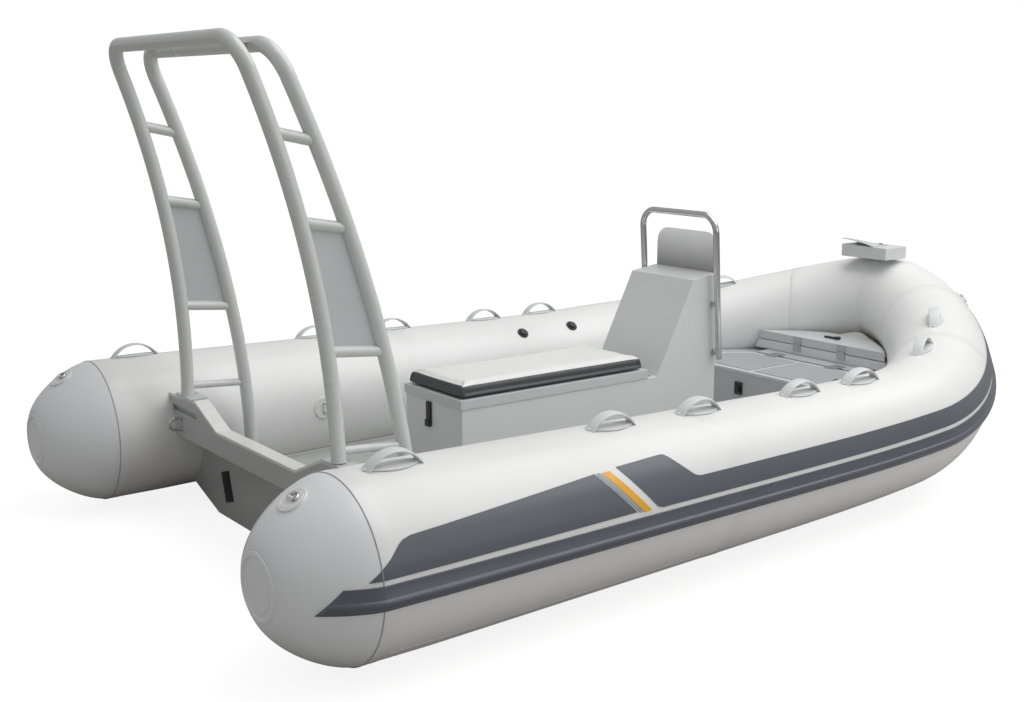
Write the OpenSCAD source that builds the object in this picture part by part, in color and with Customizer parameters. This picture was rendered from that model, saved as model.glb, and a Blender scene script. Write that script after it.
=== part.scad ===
// Rigid inflatable boat with a raised aft arch, a seat box with a small
// helm console, a fore platform with a hatch and a bow locker.
// +X points forward, +Y to port and +Z up. The origin is on the centreline,
// at the aft face of the transom's upper part and at the light waterline.
// Heights called "up" in names are taken from the stern tubes' axis.

/* [Buoyancy tubes] */
// Distance between the two straight tubes' axes
tube_spacing = 1810; // [1500:10:2200]
// Radius of the tubes at the stern
tube_r_stern = 260; // [200:5:300]
// Radius of the tubes where the side tubes meet the bow tube
tube_r_mid = 240; // [180:5:290]
// Radius of the bow tube at the shoulder, where it starts to turn in
tube_r_shoulder = 220; // [160:5:270]
// Radius of the bow tube at the stem
tube_r_stem = 198; // [150:2:250]
// Place of the seam between a side tube and the bow tube
seam_x = 1085; // [800:5:1400]
// Place of the shoulder, where the bow tube starts to turn in
shoulder_x = 2140; // [1700:10:2700]
// Length of the turned-in bow, along the boat
bow_length = 1111; // [800:5:1500]
// Roundness of the bow's outline, where 2 is an ellipse
bow_power = 1.6; // [1.4:0.05:2.2]
// Rise of the tube's axis at the stem
bow_rise = 288; // [100:4:420]
// Place where a side tube ends and its stern cone starts
cone_start_x = -204; // [-260:2:-120]
// Length of a stern cone
cone_length = 224; // [150:2:400]
// Radius of the flat cap at the end of a stern cone
cone_cap_r = 95; // [60:1:140]
// Height of the axis of the stern tubes above the light waterline
tube_axis_z = 290; // [260:1:380]

/* [Rub strake] */
// Full height of the strake
strake_h = 67; // [40:1:90]
// Thickness of the strake's flat band
strake_t = 5; // [3:0.5:10]
// Radius of the strake's bulge
strake_bulge_r = 13; // [8:0.5:20]
// Place of the strake's aft end
strake_aft_x = -335; // [-360:1:-260]

/* [Hull and deck] */
// Depth of the keel below the stern tubes' axis
keel_depth = 477; // [400:1:560]
// Place where the keel starts to rise towards the stem
keel_rise_x = 1500; // [1100:10:1900]
// Depth of the deck's top below the stern tubes' axis
deck_depth = 170; // [120:1:200]
// Thickness of the deck plate
deck_t = 12; // [6:1:20]
// Width of the bare ledge between the deck plate and a tube
ledge_w = 25; // [15:1:60]
// Distance of a spray rail from the centreline
spray_rail_y = 466; // [300:2:560]
// Width of a spray rail
spray_rail_w = 34; // [20:1:50]
// Height of a spray rail
spray_rail_h = 14; // [8:1:20]
// Width of the keel band
keel_band_w = 40; // [24:2:60]
// Thickness of the keel band
keel_band_t = 8; // [4:1:14]

/* [Transom] */
// Thickness of the transom's upper part, which carries an outboard motor
transom_t = 50; // [36:1:70]
// Set-back of the transom's lower part from the upper part's aft face
transom_step = 110; // [60:2:160]
// Thickness of the transom's lower part
transom_lower_t = 40; // [25:1:60]
// Height of the lip where the upper part ends
transom_lip_up = 6; // [-30:2:40]
// Half-width of the low middle section of the transom's top
transom_low_half = 289; // [220:1:340]
// Height of the low middle section
transom_low_up = 89; // [60:1:120]
// Half-width at the outer crease of the transom's top
transom_crease_half = 462; // [400:1:520]
// Height at the outer crease
transom_crease_up = 164; // [130:1:190]
// Thickness of the transom's cap
transom_cap_t = 10; // [5:1:16]
// Thickness of the knees that brace the transom
knee_t = 12; // [6:1:20]

/* [Arch] */
// Radius of the arch's tubes
arch_tube_r = 23; // [16:1:30]
// Height of the aft hoop's top
arch_aft_up = 1385; // [1100:5:1600]
// Height of the fore hoop's top
arch_fore_up = 1368; // [1100:5:1600]
// Bend radius at the hoops' upper corners
arch_bend_r = 95; // [60:5:150]

/* [Console and seat] */
// Half-width of the console and the seat box
console_half = 180; // [150:2:240]
// Place of the seat box's aft face
seat_aft_x = 705; // [600:5:800]
// Height of the seat box's rim
seat_rim_up = 153; // [120:1:200]
// Height of the seat lid's band
seat_lid_h = 34; // [20:1:50]
// Thickness of the cushion
cushion_t = 50; // [30:1:80]
// Wall of the sheet-metal boxes
sheet_t = 8; // [5:1:12]
// Place where the console's sloping face starts
slope_low_x = 1630; // [1600:5:1700]
// Place of the console's top aft edge
slope_top_x = 1815; // [1780:5:1850]
// Place of the console's fore face
console_fore_x = 1945; // [1900:5:2000]
// Height of the console's top aft edge
console_aft_up = 516; // [450:2:600]
// Height of the console's top fore edge
console_fore_up = 533; // [460:2:620]

/* [Windscreen and rail] */
// Half-width of the windscreen
screen_half = 170; // [140:2:180]
// Height of the windscreen's top
screen_top_up = 692; // [620:2:760]
// Radius of the windscreen's upper corners
screen_corner_r = 60; // [20:2:90]
// Radius of the rail's tube
rail_r = 12.5; // [8:0.5:20]
// Half-spacing of the rail's legs
rail_half = 210; // [205:1:260]
// Height of the rail's top
rail_top_up = 765; // [720:5:850]
// Bend radius of the rail's corners
rail_bend_r = 70; // [40:2:110]
// Lean of the rail, aft from upright
rail_lean = 4; // [0:0.5:8]

/* [Fore platform and bow locker] */
// Place of the platform's aft face
platform_x = 2330; // [2250:5:2420]
// Height of the platform's top
platform_up = 50; // [0:2:80]
// Place of the hatch's hinge axis
hatch_axis_x = 2700; // [2640:2:2740]
// Half-width of the hatch at its aft edge
hatch_half = 390; // [300:5:420]
// Thickness of the hatch and of the locker's lid
lid_t = 14; // [8:1:24]
// Place of the bow locker's aft face
locker_x = 2800; // [2750:2:2860]
// Height of the bow locker's top
locker_up = 134; // [100:2:170]
// Height of the bow locker's hinge axis
locker_axis_up = 100; // [80:1:120]

/* [Fittings] */
// Places of the grab handles on a side tube and on its run to the shoulder
handle_x = [-35, 735, 1105, 1590, 1910]; // [list of places along the boat]
// Bow angles of the two grab handles on the turned-in bow
handle_bow_angle = [22, 41]; // [list of angles from 5 to 60]
// Length of a grab handle's pad
handle_length = 186; // [140:2:240]
// Width of a grab handle's pad
handle_width = 66; // [50:1:90]
// Height of a grab handle's strap
handle_h = 48; // [30:1:70]
// Width of the box on the bow tube
bow_box_w = 250; // [180:5:340]

/* [Hidden] */

$fn = 96;
tube_y = tube_spacing / 2;
// Gap left between pieces that lie against each other on a curved face
gap = 0.3;
// Extra length of a cutting shape past the face that it cuts
over = 20;
// Number of flat sides round the swept bow tube
sweep_sides = 36;
// Places of the sections between the seam and the shoulder
side_steps = 4;
// Bow angles at which the swept pieces have a section
bow_angles = [0, 7, 14, 22, 30, 38, 46, 54, 62, 70, 77, 84, 90];
// Lower contact angle of the hull on a straight tube, below level
hull_low_angle = 57;
// How much that angle grows towards the stem
hull_low_gain = 22;
// Steepest upper contact angle of the hull on a tube
hull_high_angle = 45;
stem_x = shoulder_x + bow_length;
sole_bottom_up = -deck_depth - deck_t;
// Number of flat sides of the hull's ledge along the tube
ledge_steps = 4;
// Least thickness of the hull's bottom under its inner floor
bottom_t = 8;
transom_fore_x = transom_step + transom_lower_t;
hatch_up = platform_up - lid_t;

// Everything is drawn round the stern tubes' axis and lifted to float
module afloat() {
    translate([0, 0, tube_axis_z]) children();
}

module both_sides() {
    children();
    mirror([0, 1, 0]) children();
}

// A plate with its outline in X and Z, centred on the boat
module side_plate(outline, width) {
    rotate([90, 0, 0]) linear_extrude(height = width, center = true) polygon(outline);
}

// A plate with its outline in Y and Z, from place x forward
module cross_plate(outline, x, t) {
    translate([x, 0, 0]) rotate([90, 0, 90]) linear_extrude(height = t) polygon(outline);
}

// A plate with its outline in X and Y, from height up
module deck_plate(outline, up, t) {
    translate([0, 0, up]) linear_extrude(height = t) polygon(outline);
}

// A port outline in X and Y, completed with its starboard half
function both_halves(port) = concat(
    port,
    [for (i = [len(port) - 1 : -1 : 0]) if (abs(port[i][1]) > 0.001) [port[i][0], -port[i][1]]]
);

// A port outline in Y and Z, completed with its starboard half
function across(port) = concat(
    port,
    [for (i = [len(port) - 1 : -1 : 0]) if (port[i][0] > 0.001) [-port[i][0], port[i][1]]]
);

function unit(v) = v / norm(v);

// ---- The run of the tubes -------------------------------------------------
// A section is [x, y, z, heading, radius]. The heading turns the outward
// direction from port at 0 to forward at 90.

function rise_at(x) = bow_rise * pow(max(0, (x - seam_x) / (stem_x - seam_x)), 4);

function side_radius(x) = x < 0 ? tube_r_stern
    : x < seam_x ? tube_r_stern + (tube_r_mid - tube_r_stern) * x / seam_x
    : tube_r_mid + (tube_r_shoulder - tube_r_mid) * (x - seam_x) / (shoulder_x - seam_x);

function side_section(x) = [x, tube_y, rise_at(x), 0, side_radius(x)];

function bow_x(a) = shoulder_x + bow_length * pow(sin(a), 2 / bow_power);
function bow_y(a) = a >= 90 ? 0 : tube_y * pow(cos(a), 2 / bow_power);
function bow_heading(a) = a >= 90 ? 90
    : atan(tube_y / bow_length * pow(tan(a), 2 - 2 / bow_power));
function bow_radius(a) = tube_r_shoulder
    + (tube_r_stem - tube_r_shoulder) * (bow_x(a) - shoulder_x) / bow_length;
function bow_section(a) = [bow_x(a), bow_y(a), rise_at(bow_x(a)), bow_heading(a), bow_radius(a)];

function mirrored(s) = [s[0], -s[1], s[2], 180 - s[3], s[4]];

fore_run = concat(
    [for (i = [0 : side_steps - 1]) side_section(seam_x + (shoulder_x - seam_x) * i / side_steps)],
    [for (a = bow_angles) bow_section(a)]
);
bow_run = concat(
    fore_run,
    [for (i = [len(fore_run) - 2 : -1 : 0]) mirrored(fore_run[i])]
);

// A point at a distance out from a section's middle and at a height
function section_point(s, out, up) = [
    s[0] + out * sin(s[3]),
    s[1] + out * cos(s[3]),
    s[2] + up
];

// Radius of a stern cone at a place along the boat
function cone_radius(x) =
    let (share = min(1, max(0, (cone_start_x - x) / cone_length)))
    let (s = pow(share, 0.733))
    cone_cap_r + (tube_r_stern - cone_cap_r) * pow(sqrt(1 - s * s), 1.364);

// Closed skin over rings that all turn the same way round their path. Where
// each ring is the same on both sides, even is true and so are the facets.
module skin(rings, even = false) {
    n = len(rings[0]);
    last = len(rings) - 1;
    function first(j) = !even || j < n / 2;
    polyhedron(
        points = [for (ring = rings) for (p = ring) p],
        faces = concat(
            [[for (j = [0 : n - 1]) j]],
            [for (i = [0 : last - 1]) for (j = [0 : n - 1])
                [i * n + j, (i + 1) * n + j, (first(j) ? i + 1 : i) * n + (j + 1) % n]],
            [for (i = [0 : last - 1]) for (j = [0 : n - 1])
                [(first(j) ? i * n + j : (i + 1) * n + j), (i + 1) * n + (j + 1) % n, i * n + (j + 1) % n]],
            [[for (j = [n - 1 : -1 : 0]) last * n + j]]
        )
    );
}

// A round bar along a path that never runs along X
function bar_ring(path, i, r, sides) =
    let (d = unit(path[min(i + 1, len(path) - 1)] - path[max(i - 1, 0)]))
    let (a = unit(cross(d, [1, 0, 0])))
    let (b = cross(d, a))
    [for (j = [0 : sides - 1]) path[i] + r * (cos(360 * j / sides) * a + sin(360 * j / sides) * b)];

module bent_bar(path, r, sides) {
    skin([for (i = [0 : len(path) - 1]) bar_ring(path, i, r, sides)]);
}

// ---- Buoyancy tubes -------------------------------------------------------

// The solid that a side tube fills, grown all round by a margin
module side_tube_body(margin, x_from, x_to) {
    translate([0, tube_y, 0]) rotate([0, 90, 0]) rotate_extrude() polygon([
        [0, x_from],
        [tube_r_stern + margin, x_from],
        [tube_r_stern + margin, 0],
        [side_radius(x_to) + margin, x_to],
        [0, x_to]
    ]);
}

module side_tube() {
    color("whitesmoke") afloat() side_tube_body(0, cone_start_x, seam_x);
}

module tube_port() { side_tube(); }
module tube_starboard() { mirror([0, 1, 0]) side_tube(); }

module bow_tube() {
    color("whitesmoke") afloat() skin([for (s = bow_run) [
        for (j = [0 : sweep_sides - 1])
            section_point(s, s[4] * cos(360 * j / sweep_sides), s[4] * sin(360 * j / sweep_sides))
    ]]);
}

// A bullet-shaped cone with a flat cap and two raised rings round it
module stern_cone() {
    steps = 14;
    cap_x = cone_start_x - cone_length;
    rim_h = 4;
    color("gainsboro") afloat() translate([0, tube_y, 0]) rotate([0, 90, 0]) rotate_extrude() polygon(concat(
        [[0, cone_start_x], [tube_r_stern, cone_start_x]],
        [for (i = [1 : steps - 1])
            let (x = cone_start_x - cone_length * pow(sin(90 * i / steps), 1.364))
            [cone_radius(x), x]],
        [
            [cone_cap_r, cap_x],
            [cone_cap_r - 3, cap_x - rim_h],
            [cone_cap_r - 14, cap_x - rim_h],
            [cone_cap_r - 17, cap_x],
            [cone_cap_r - 26, cap_x],
            [cone_cap_r - 29, cap_x - rim_h],
            [0, cap_x - rim_h]
        ]
    ));
}

module stern_cone_port() { stern_cone(); }
module stern_cone_starboard() { mirror([0, 1, 0]) stern_cone(); }

// ---- Rub strake -----------------------------------------------------------

// Outer face of the strake, from its lower to its upper edge: [height, depth]
strake_outer = concat(
    [[-strake_h / 2, 1], [-strake_h / 2 + 3, strake_t]],
    [for (a = [-75 : 25 : 75])
        [-13 + strake_bulge_r * sin(a), strake_t + strake_bulge_r * cos(a) * 0.85]],
    [[3, strake_t], [strake_h / 2 - 2, strake_t], [strake_h / 2, 1]]
);
strake_inner = [for (i = [4 : -1 : 0]) [strake_h * (i / 4 - 0.5), 0]];
strake_profile = concat(strake_outer, strake_inner);

// Distance of a tube's skin from its axis at a height, with the fitting gap
function skin_out(r, up) = sqrt(pow(r + gap, 2) - up * up);

function strake_ring(s) = [for (p = strake_profile)
    section_point(s, skin_out(s[4], p[0]) + p[1], p[0])];

// Aft of the side tube's start the ring leans and follows the cone
function strake_aft_ring(x) = [for (p = strake_profile)
    let (px = x + 0.9 * p[0] * (cone_start_x - x) / (cone_start_x - strake_aft_x))
    [px, tube_y + skin_out(cone_radius(px) + 1.2, p[0]) + p[1], p[0]]];

module side_strake() {
    color([0.25, 0.27, 0.3]) afloat() skin(concat(
        [for (x = [strake_aft_x : 21.8 : cone_start_x - 10]) strake_aft_ring(x)],
        [for (x = [cone_start_x, 0, seam_x]) strake_ring(side_section(x))]
    ));
}

module rub_strake_port() { side_strake(); }
module rub_strake_starboard() { mirror([0, 1, 0]) side_strake(); }
module rub_strake_bow() {
    color([0.25, 0.27, 0.3]) afloat() skin([for (s = bow_run) strake_ring(s)]);
}

// ---- Hull and deck --------------------------------------------------------

// Angle below level at which the hull's bottom panel meets the tube
function low_angle(s) = hull_low_angle + hull_low_gain * s[3] / 90;

// Height at which the hull's ledge meets the tube
function ledge_up(s) = max(-deck_depth, s[2] - s[4] * sin(hull_high_angle));

function stem_low_up() = rise_at(stem_x) - tube_r_stem * sin(hull_low_angle + hull_low_gain);
function keel_end_x() = stem_x - tube_r_stem * cos(hull_low_angle + hull_low_gain);
function keel_up(x) = -keel_depth + (stem_low_up() + keel_depth)
    * pow(min(1, max(0, (x - keel_rise_x) / (keel_end_x() - keel_rise_x))), 2.4);

// Room between the hull and the tube, larger where the run turns in
function hull_margin(s) = 0.5 + 3.5 * min(1, (s[3] > 90 ? 180 - s[3] : s[3]) / 20);

// Point of the hull on the tube at an angle below level
function hull_contact(s, angle) =
    let (r = s[4] + hull_margin(s))
    section_point(s, -r * cos(angle), -r * sin(angle));

function high_angle(s) = asin((s[2] - ledge_up(s)) / (s[4] + hull_margin(s)));

// Height of the hull's inner floor
function floor_up(s) =
    min(ledge_up(s) - 1, max(sole_bottom_up, keel_up(hull_contact(s, low_angle(s))[0]) + 80));

// Half-width of the inner floor that leaves the bottom panel under it thick enough
function floor_half(s) =
    let (low = hull_contact(s, low_angle(s)))
    let (keel = keel_up(low[0]))
    low[2] - keel < 1 ? low[1] : low[1] * (floor_up(s) - bottom_t - keel) / (low[2] - keel);

// Inner edge of the hull's ledge, moved in by a margin, at a height
function ledge_edge(s, margin, up) =
    let (out = (s[4] + hull_margin(s)) * cos(high_angle(s)) + ledge_w + margin)
    let (p = section_point(s, -out, 0))
    [p[0], min(p[1], floor_half(s) - margin), up];

function flip(p) = [p[0], -p[1], p[2]];

// Section of the hull's bottom, from the keel to the tubes and the inner floor
function bottom_ring(s) =
    let (low = hull_contact(s, low_angle(s)))
    let (floor = ledge_edge(s, 0, floor_up(s)))
    [[low[0], 0, keel_up(low[0])], low, floor, flip(floor), flip(low)];

// Section of the side ledge that joins the bottom to the tube
function ledge_ring(s) =
    let (from = low_angle(s))
    concat(
        [hull_contact(s, from) + [0, 0, gap]],
        [for (i = [1 : ledge_steps]) hull_contact(s, from + (high_angle(s) - from) * i / ledge_steps)],
        [ledge_edge(s, 0, ledge_up(s)), ledge_edge(s, 0, floor_up(s) + gap)]
    );

hull_run = concat([side_section(transom_fore_x)], [for (s = fore_run) if (s[3] < 80) s]);

module hull_bottom() {
    color("gainsboro") afloat() skin([for (s = hull_run) bottom_ring(s)], true);
}

module hull_ledges() {
    color("gainsboro") afloat() both_sides() skin([for (s = hull_run) if (s[3] < 50) ledge_ring(s)], true);
}

// Height of the hull's bottom panel at a place out from the keel, aft
function bottom_up(x, y) =
    let (low = hull_contact(side_section(x), hull_low_angle))
    -keel_depth + (low[2] + keel_depth) * y / low[1];

// One wedge-shaped rail under each side of the hull
module spray_rails() {
    rail_from = transom_fore_x + 2;
    rail_to = keel_rise_x - 60;
    function rail_ring(x) = [
        [x, spray_rail_y - spray_rail_w / 2, bottom_up(x, spray_rail_y - spray_rail_w / 2) - 2 * gap],
        [x, spray_rail_y + spray_rail_w / 2 - 4, bottom_up(x, spray_rail_y) - spray_rail_h],
        [x, spray_rail_y + spray_rail_w / 2, bottom_up(x, spray_rail_y) - spray_rail_h + 4],
        [x, spray_rail_y + spray_rail_w / 2, bottom_up(x, spray_rail_y + spray_rail_w / 2) - 2 * gap]
    ];
    color("gainsboro") afloat() both_sides()
        skin([for (x = [rail_from, seam_x, rail_to]) rail_ring(x)]);
}

// A rubbing band that hugs the straight part of the keel
module keel_band() {
    slope = (bottom_up(seam_x, 100) + keel_depth) / 100;
    half = keel_band_w / 2;
    color("darkgray") afloat() cross_plate([
        [0, -keel_depth - keel_band_t],
        [half, -keel_depth - keel_band_t + half * slope],
        [half, -keel_depth + half * slope - gap * 4],
        [0, -keel_depth - gap],
        [-half, -keel_depth + half * slope - gap * 4],
        [-half, -keel_depth - keel_band_t + half * slope]
    ], transom_step, keel_rise_x - transom_step);
}

module deck_floor() {
    edge = [for (s = concat(
        [side_section(transom_fore_x + gap)],
        [for (i = [0 : side_steps]) side_section(seam_x + (shoulder_x - seam_x) * i / side_steps)],
        [bow_section(7), bow_section(14), bow_section(22)]
    )) let (p = ledge_edge(s, 1, 0)) [p[0], p[1]]];
    color("silver") afloat() deck_plate(both_halves(edge), sole_bottom_up + gap, deck_t - 2 * gap);
}

// ---- Transom --------------------------------------------------------------

// Port half of the transom's outline, from the keel to the middle of its top
function transom_outline(drop) = [
    [0, -keel_depth],
    [800, bottom_up(transom_step, 800)],
    [800, transom_crease_up - 13 - drop],
    [transom_crease_half, transom_crease_up - drop],
    [transom_low_half, transom_low_up - drop]
];

module tube_room() {
    both_sides() side_tube_body(gap, -over, transom_fore_x + over);
}

module transom() {
    color([0.55, 0.57, 0.58]) afloat() difference() {
        intersection() {
            cross_plate(across(transom_outline(transom_cap_t)), 0, transom_fore_x);
            side_plate([
                [0, transom_lip_up],
                [transom_step, transom_lip_up - 16],
                [transom_step, -keel_depth - over],
                [transom_fore_x, -keel_depth - over],
                [transom_fore_x, transom_lip_up + 20],
                [transom_t, transom_low_up - transom_cap_t],
                [transom_t, 200],
                [0, 200]
            ], 1700);
        }
        tube_room();
        transom_slots();
    }
}

// Blind slots just below the cap's outer runs
module transom_slots() {
    slot_l = 210;
    slot_h = 20;
    slot_depth = 14;
    both_sides() translate([-1, transom_crease_half - 10, transom_crease_up - 66])
        cube([slot_depth + 1, slot_l, slot_h]);
}

module transom_cap() {
    top = [for (i = [2 : 4]) transom_outline(0)[i]];
    underside = [for (i = [4 : -1 : 2]) transom_outline(transom_cap_t)[i]];
    color("white") afloat() difference() {
        both_sides() cross_plate(concat(top, [[0, transom_low_up], [0, transom_low_up - transom_cap_t]],
            underside), 0, transom_t + 4);
        tube_room();
    }
}

// Triangular knees between the transom's fore face and the deck
module transom_knees() {
    knee_y = 430;
    knee_l = 150;
    lip = 14;
    color("gainsboro") afloat() both_sides() translate([0, knee_y, 0]) side_plate([
        [transom_fore_x + gap, transom_lip_up],
        [transom_fore_x + lip, transom_lip_up],
        [transom_fore_x + knee_l, -deck_depth + lip],
        [transom_fore_x + knee_l, -deck_depth],
        [transom_fore_x + gap, -deck_depth]
    ], knee_t);
}

// Bent-rod eyes for towing, one at each side of the transom's aft face
module towing_eyes() {
    eye_y = 590;
    eye_up = 58;
    rod_r = 5;
    bend = 20;
    reach = 26;
    color("lightgray") afloat() both_sides() translate([0, eye_y, eye_up]) {
        for (v = [-1, 1]) {
            translate([-reach, 0, v * bend]) rotate([0, 90, 0]) cylinder(h = reach, r = rod_r);
            translate([-5, 0, v * bend]) rotate([0, 90, 0]) cylinder(h = 5, r = rod_r + 6);
        }
        translate([-reach, 0, 0]) rotate([90, 0, 0]) rotate([0, 0, 90])
            rotate_extrude(angle = 180) translate([bend, 0]) circle(r = rod_r);
    }
}

// Flaps over the drain slots in the transom's lower part
module scupper_flaps() {
    flap_y = 455;
    flap_up = -168;
    flap_w = 56;
    flap_h = 112;
    flap_t = 6;
    color([0.12, 0.12, 0.13]) afloat() both_sides()
        translate([transom_step - flap_t - gap, flap_y, flap_up]) rotate([-17, 0, 0])
            translate([0, -flap_w / 2, -flap_h / 2]) cube([flap_t, flap_w, flap_h]);
}

// ---- Fittings on the tubes ------------------------------------------------

// Slope of the tubes' run at a section
function run_slope(s) = atan((rise_at(s[0] + 20) - rise_at(s[0] - 20)) / 40 * cos(s[3]));

// Puts its children on a tube: X along the run, Z straight out of the skin.
// The tilt turns them about the tube from its crown towards the outside.
module on_section(s, tilt) {
    translate([s[0], s[1], s[2]]) rotate([0, 0, -s[3]]) rotate([0, -run_slope(s), 0])
        rotate([-tilt, 0, 0]) children();
}

// A strap over a lens-shaped pad that fits the tube's curve
module grab_handle(r, taper) {
    seat = r + gap + 0.4;
    lens_r = (pow(handle_length / 2, 2) + pow(handle_width / 2, 2)) / handle_width;
    strap_r = (pow(handle_length / 2 - 6, 2) + handle_h * handle_h) / (2 * handle_h);
    strap_w = 28;
    strap_t = 6;
    pad_t = 6;
    intersection() {
        difference() {
            rotate([0, 90, 0])
                cylinder(
                    h = handle_length + 2,
                    r1 = seat + pad_t + taper,
                    r2 = seat + pad_t - taper,
                    center = true
                );
            rotate([0, 90, 0])
                cylinder(h = handle_length + 4, r1 = seat + taper, r2 = seat - taper, center = true);
        }
        intersection() {
            translate([0, lens_r - handle_width / 2, 0]) cylinder(h = r * 2, r = lens_r);
            translate([0, handle_width / 2 - lens_r, 0]) cylinder(h = r * 2, r = lens_r);
        }
    }
    translate([0, 0, seat + handle_h - strap_r]) rotate([90, 0, 0])
        linear_extrude(height = strap_w, center = true)
        difference() {
            circle(r = strap_r);
            circle(r = strap_r - strap_t);
            translate([-strap_r - 1, -strap_r - handle_h + 2]) square([strap_r * 2 + 2, strap_r * 2]);
        }
}

// Extra room under the two bow handles, where the tube bends away
handle_bow_room = [1.6, 0.2];

module grab_handles() {
    side_taper = (tube_r_stern - tube_r_mid) / seam_x * handle_length / 2;
    color("white") afloat() {
        for (x = handle_x)
            on_section(side_section(x), 5)
                grab_handle(side_radius(x) + (x > seam_x + handle_length ? 0.5 : 0), x < 0 ? 0 : side_taper);
        for (i = [0 : len(handle_bow_angle) - 1])
            on_section(bow_section(handle_bow_angle[i]), -8)
                grab_handle(bow_radius(handle_bow_angle[i]) + handle_bow_room[i], 0);
    }
}

module grab_handles_port() { grab_handles(); }
module grab_handles_starboard() { mirror([0, 1, 0]) grab_handles(); }

// A round pad with a keeper and a D-shaped ring that lies on it
module lashing_ring(r) {
    seat = r + gap;
    pad_r = 42;
    ring_r = 20;
    rod_r = 4;
    translate([0, 0, seat]) {
        cylinder(h = 3, r1 = pad_r, r2 = pad_r - 2);
        translate([-9, -15, 2]) cube([18, 30, 11]);
        translate([0, 0, 3 + rod_r]) {
            rotate([0, 0, -90]) rotate_extrude(angle = 180)
                translate([ring_r, 0]) circle(r = rod_r, $fn = 24);
            rotate([90, 0, 0]) cylinder(h = 2 * ring_r + 2, r = rod_r - 0.3, center = true, $fn = 24);
        }
    }
}

// Lean of a stern cone's skin at a place, aft from level
function cone_lean(x) = atan((cone_radius(x + 4) - cone_radius(x - 4)) / 8);

module stern_lashing_rings() {
    ring_x = -322;
    color("silver") afloat() both_sides()
        translate([ring_x, tube_y, cone_radius(ring_x)]) rotate([0, -cone_lean(ring_x), 0]) lashing_ring(0);
}

module inner_lashing_rings() {
    ring_x = 618;
    color("silver") afloat() both_sides()
        on_section(side_section(ring_x), -87) lashing_ring(side_radius(ring_x) + 0.6);
}

module bow_lashing_rings() {
    bow_angle = 62;
    // The leaning tube is narrower across its own axis than in the section
    lean_room = 2.5;
    color("silver") afloat() both_sides()
        on_section(bow_section(bow_angle), 50) lashing_ring(bow_radius(bow_angle) - lean_room);
}

// Two valves on the inner side of each tube
module inflation_valves() {
    valve_x = [1690, 1975];
    color([0.2, 0.2, 0.22]) afloat() both_sides() for (x = valve_x)
        on_section(side_section(x), -39) translate([0, 0, side_radius(x) + gap + 0.9]) {
            cylinder(h = 5, r = 26);
            cylinder(h = 12, r = 17);
        }
}

// ---- Arch -----------------------------------------------------------------

function arch_half(up) = 560 - 0.0666 * up;
function aft_leg_x(up) = 12 - 240 * pow(max(0, (up - 166) / (arch_aft_up - 166)), 2.1);
function fore_leg_x(up) = 262 - 375 * pow(max(0, (up + deck_depth) / (arch_fore_up + deck_depth)), 1.85);

// Straight pieces that make up a leg
leg_steps = 9;

// Point i of a leg's axis, counted from its foot
function leg_node(i, foot_up, top_up, aft) =
    let (up = foot_up + (top_up - arch_bend_r - foot_up) * i / leg_steps)
    [aft ? aft_leg_x(up) : fore_leg_x(up), arch_half(up), up];

// Port half of a hoop's axis, from its foot to the middle of its top
function hoop_half(foot_up, top_up, aft) =
    let (bend_up = top_up - arch_bend_r)
    concat(
        [for (i = [0 : leg_steps]) leg_node(i, foot_up, top_up, aft)],
        [for (a = [18 : 18 : 90])
            let (up = bend_up + arch_bend_r * sin(a))
            [aft ? aft_leg_x(up) : fore_leg_x(up),
             arch_half(bend_up) - arch_bend_r * (1 - cos(a)), up]]
    );

function whole_hoop(half) = concat(half, [for (i = [len(half) - 1 : -1 : 0]) flip(half[i])]);

aft_foot_up = transom_crease_up + 8;
fore_foot_up = -deck_depth + 8;

module arch_aft_hoop() {
    color("white") afloat() bent_bar(whole_hoop(hoop_half(aft_foot_up, arch_aft_up, true)), arch_tube_r, 20);
}

module arch_fore_hoop() {
    color("white") afloat()
        bent_bar(whole_hoop(hoop_half(fore_foot_up, arch_fore_up, false)), arch_tube_r, 20);
}

// The two nodes of a leg that enclose a height
function leg_span(up, foot_up, top_up, aft) =
    let (i = floor((up - foot_up) / (top_up - arch_bend_r - foot_up) * leg_steps))
    [leg_node(i, foot_up, top_up, aft), leg_node(i + 1, foot_up, top_up, aft)];

function point_between(span, up) =
    span[0] + (span[1] - span[0]) * (up - span[0][2]) / (span[1][2] - span[0][2]);

// Turns its children's Z axis to a direction
module along(d) {
    rotate([0, acos(unit(d)[2]), atan2(d[1], d[0])]) children();
}

// A round rung between the two legs of one side, shaped to fit their skins
module rung(aft_up, fore_up, r) {
    aft_span = leg_span(aft_up, aft_foot_up, arch_aft_up, true);
    fore_span = leg_span(fore_up, fore_foot_up, arch_fore_up, false);
    p = point_between(aft_span, aft_up);
    q = point_between(fore_span, fore_up);
    room = arch_tube_r + 1.5 * gap;
    difference() {
        translate(p) along(q - p) cylinder(h = norm(q - p), r = r);
        translate(p) along(aft_span[1] - aft_span[0]) cylinder(h = 4 * r, r = room, center = true);
        translate(q) along(fore_span[1] - fore_span[0]) cylinder(h = 4 * r, r = room, center = true);
    }
}

rung_levels = [[1128, 1100], [876, 850], [500, 482]];
brace_levels = [205, 190];

module arch_rungs() {
    color("white") afloat() both_sides() {
        for (level = rung_levels) rung(level[0], level[1], 17);
        rung(brace_levels[0], brace_levels[1], 13);
    }
}

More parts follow.
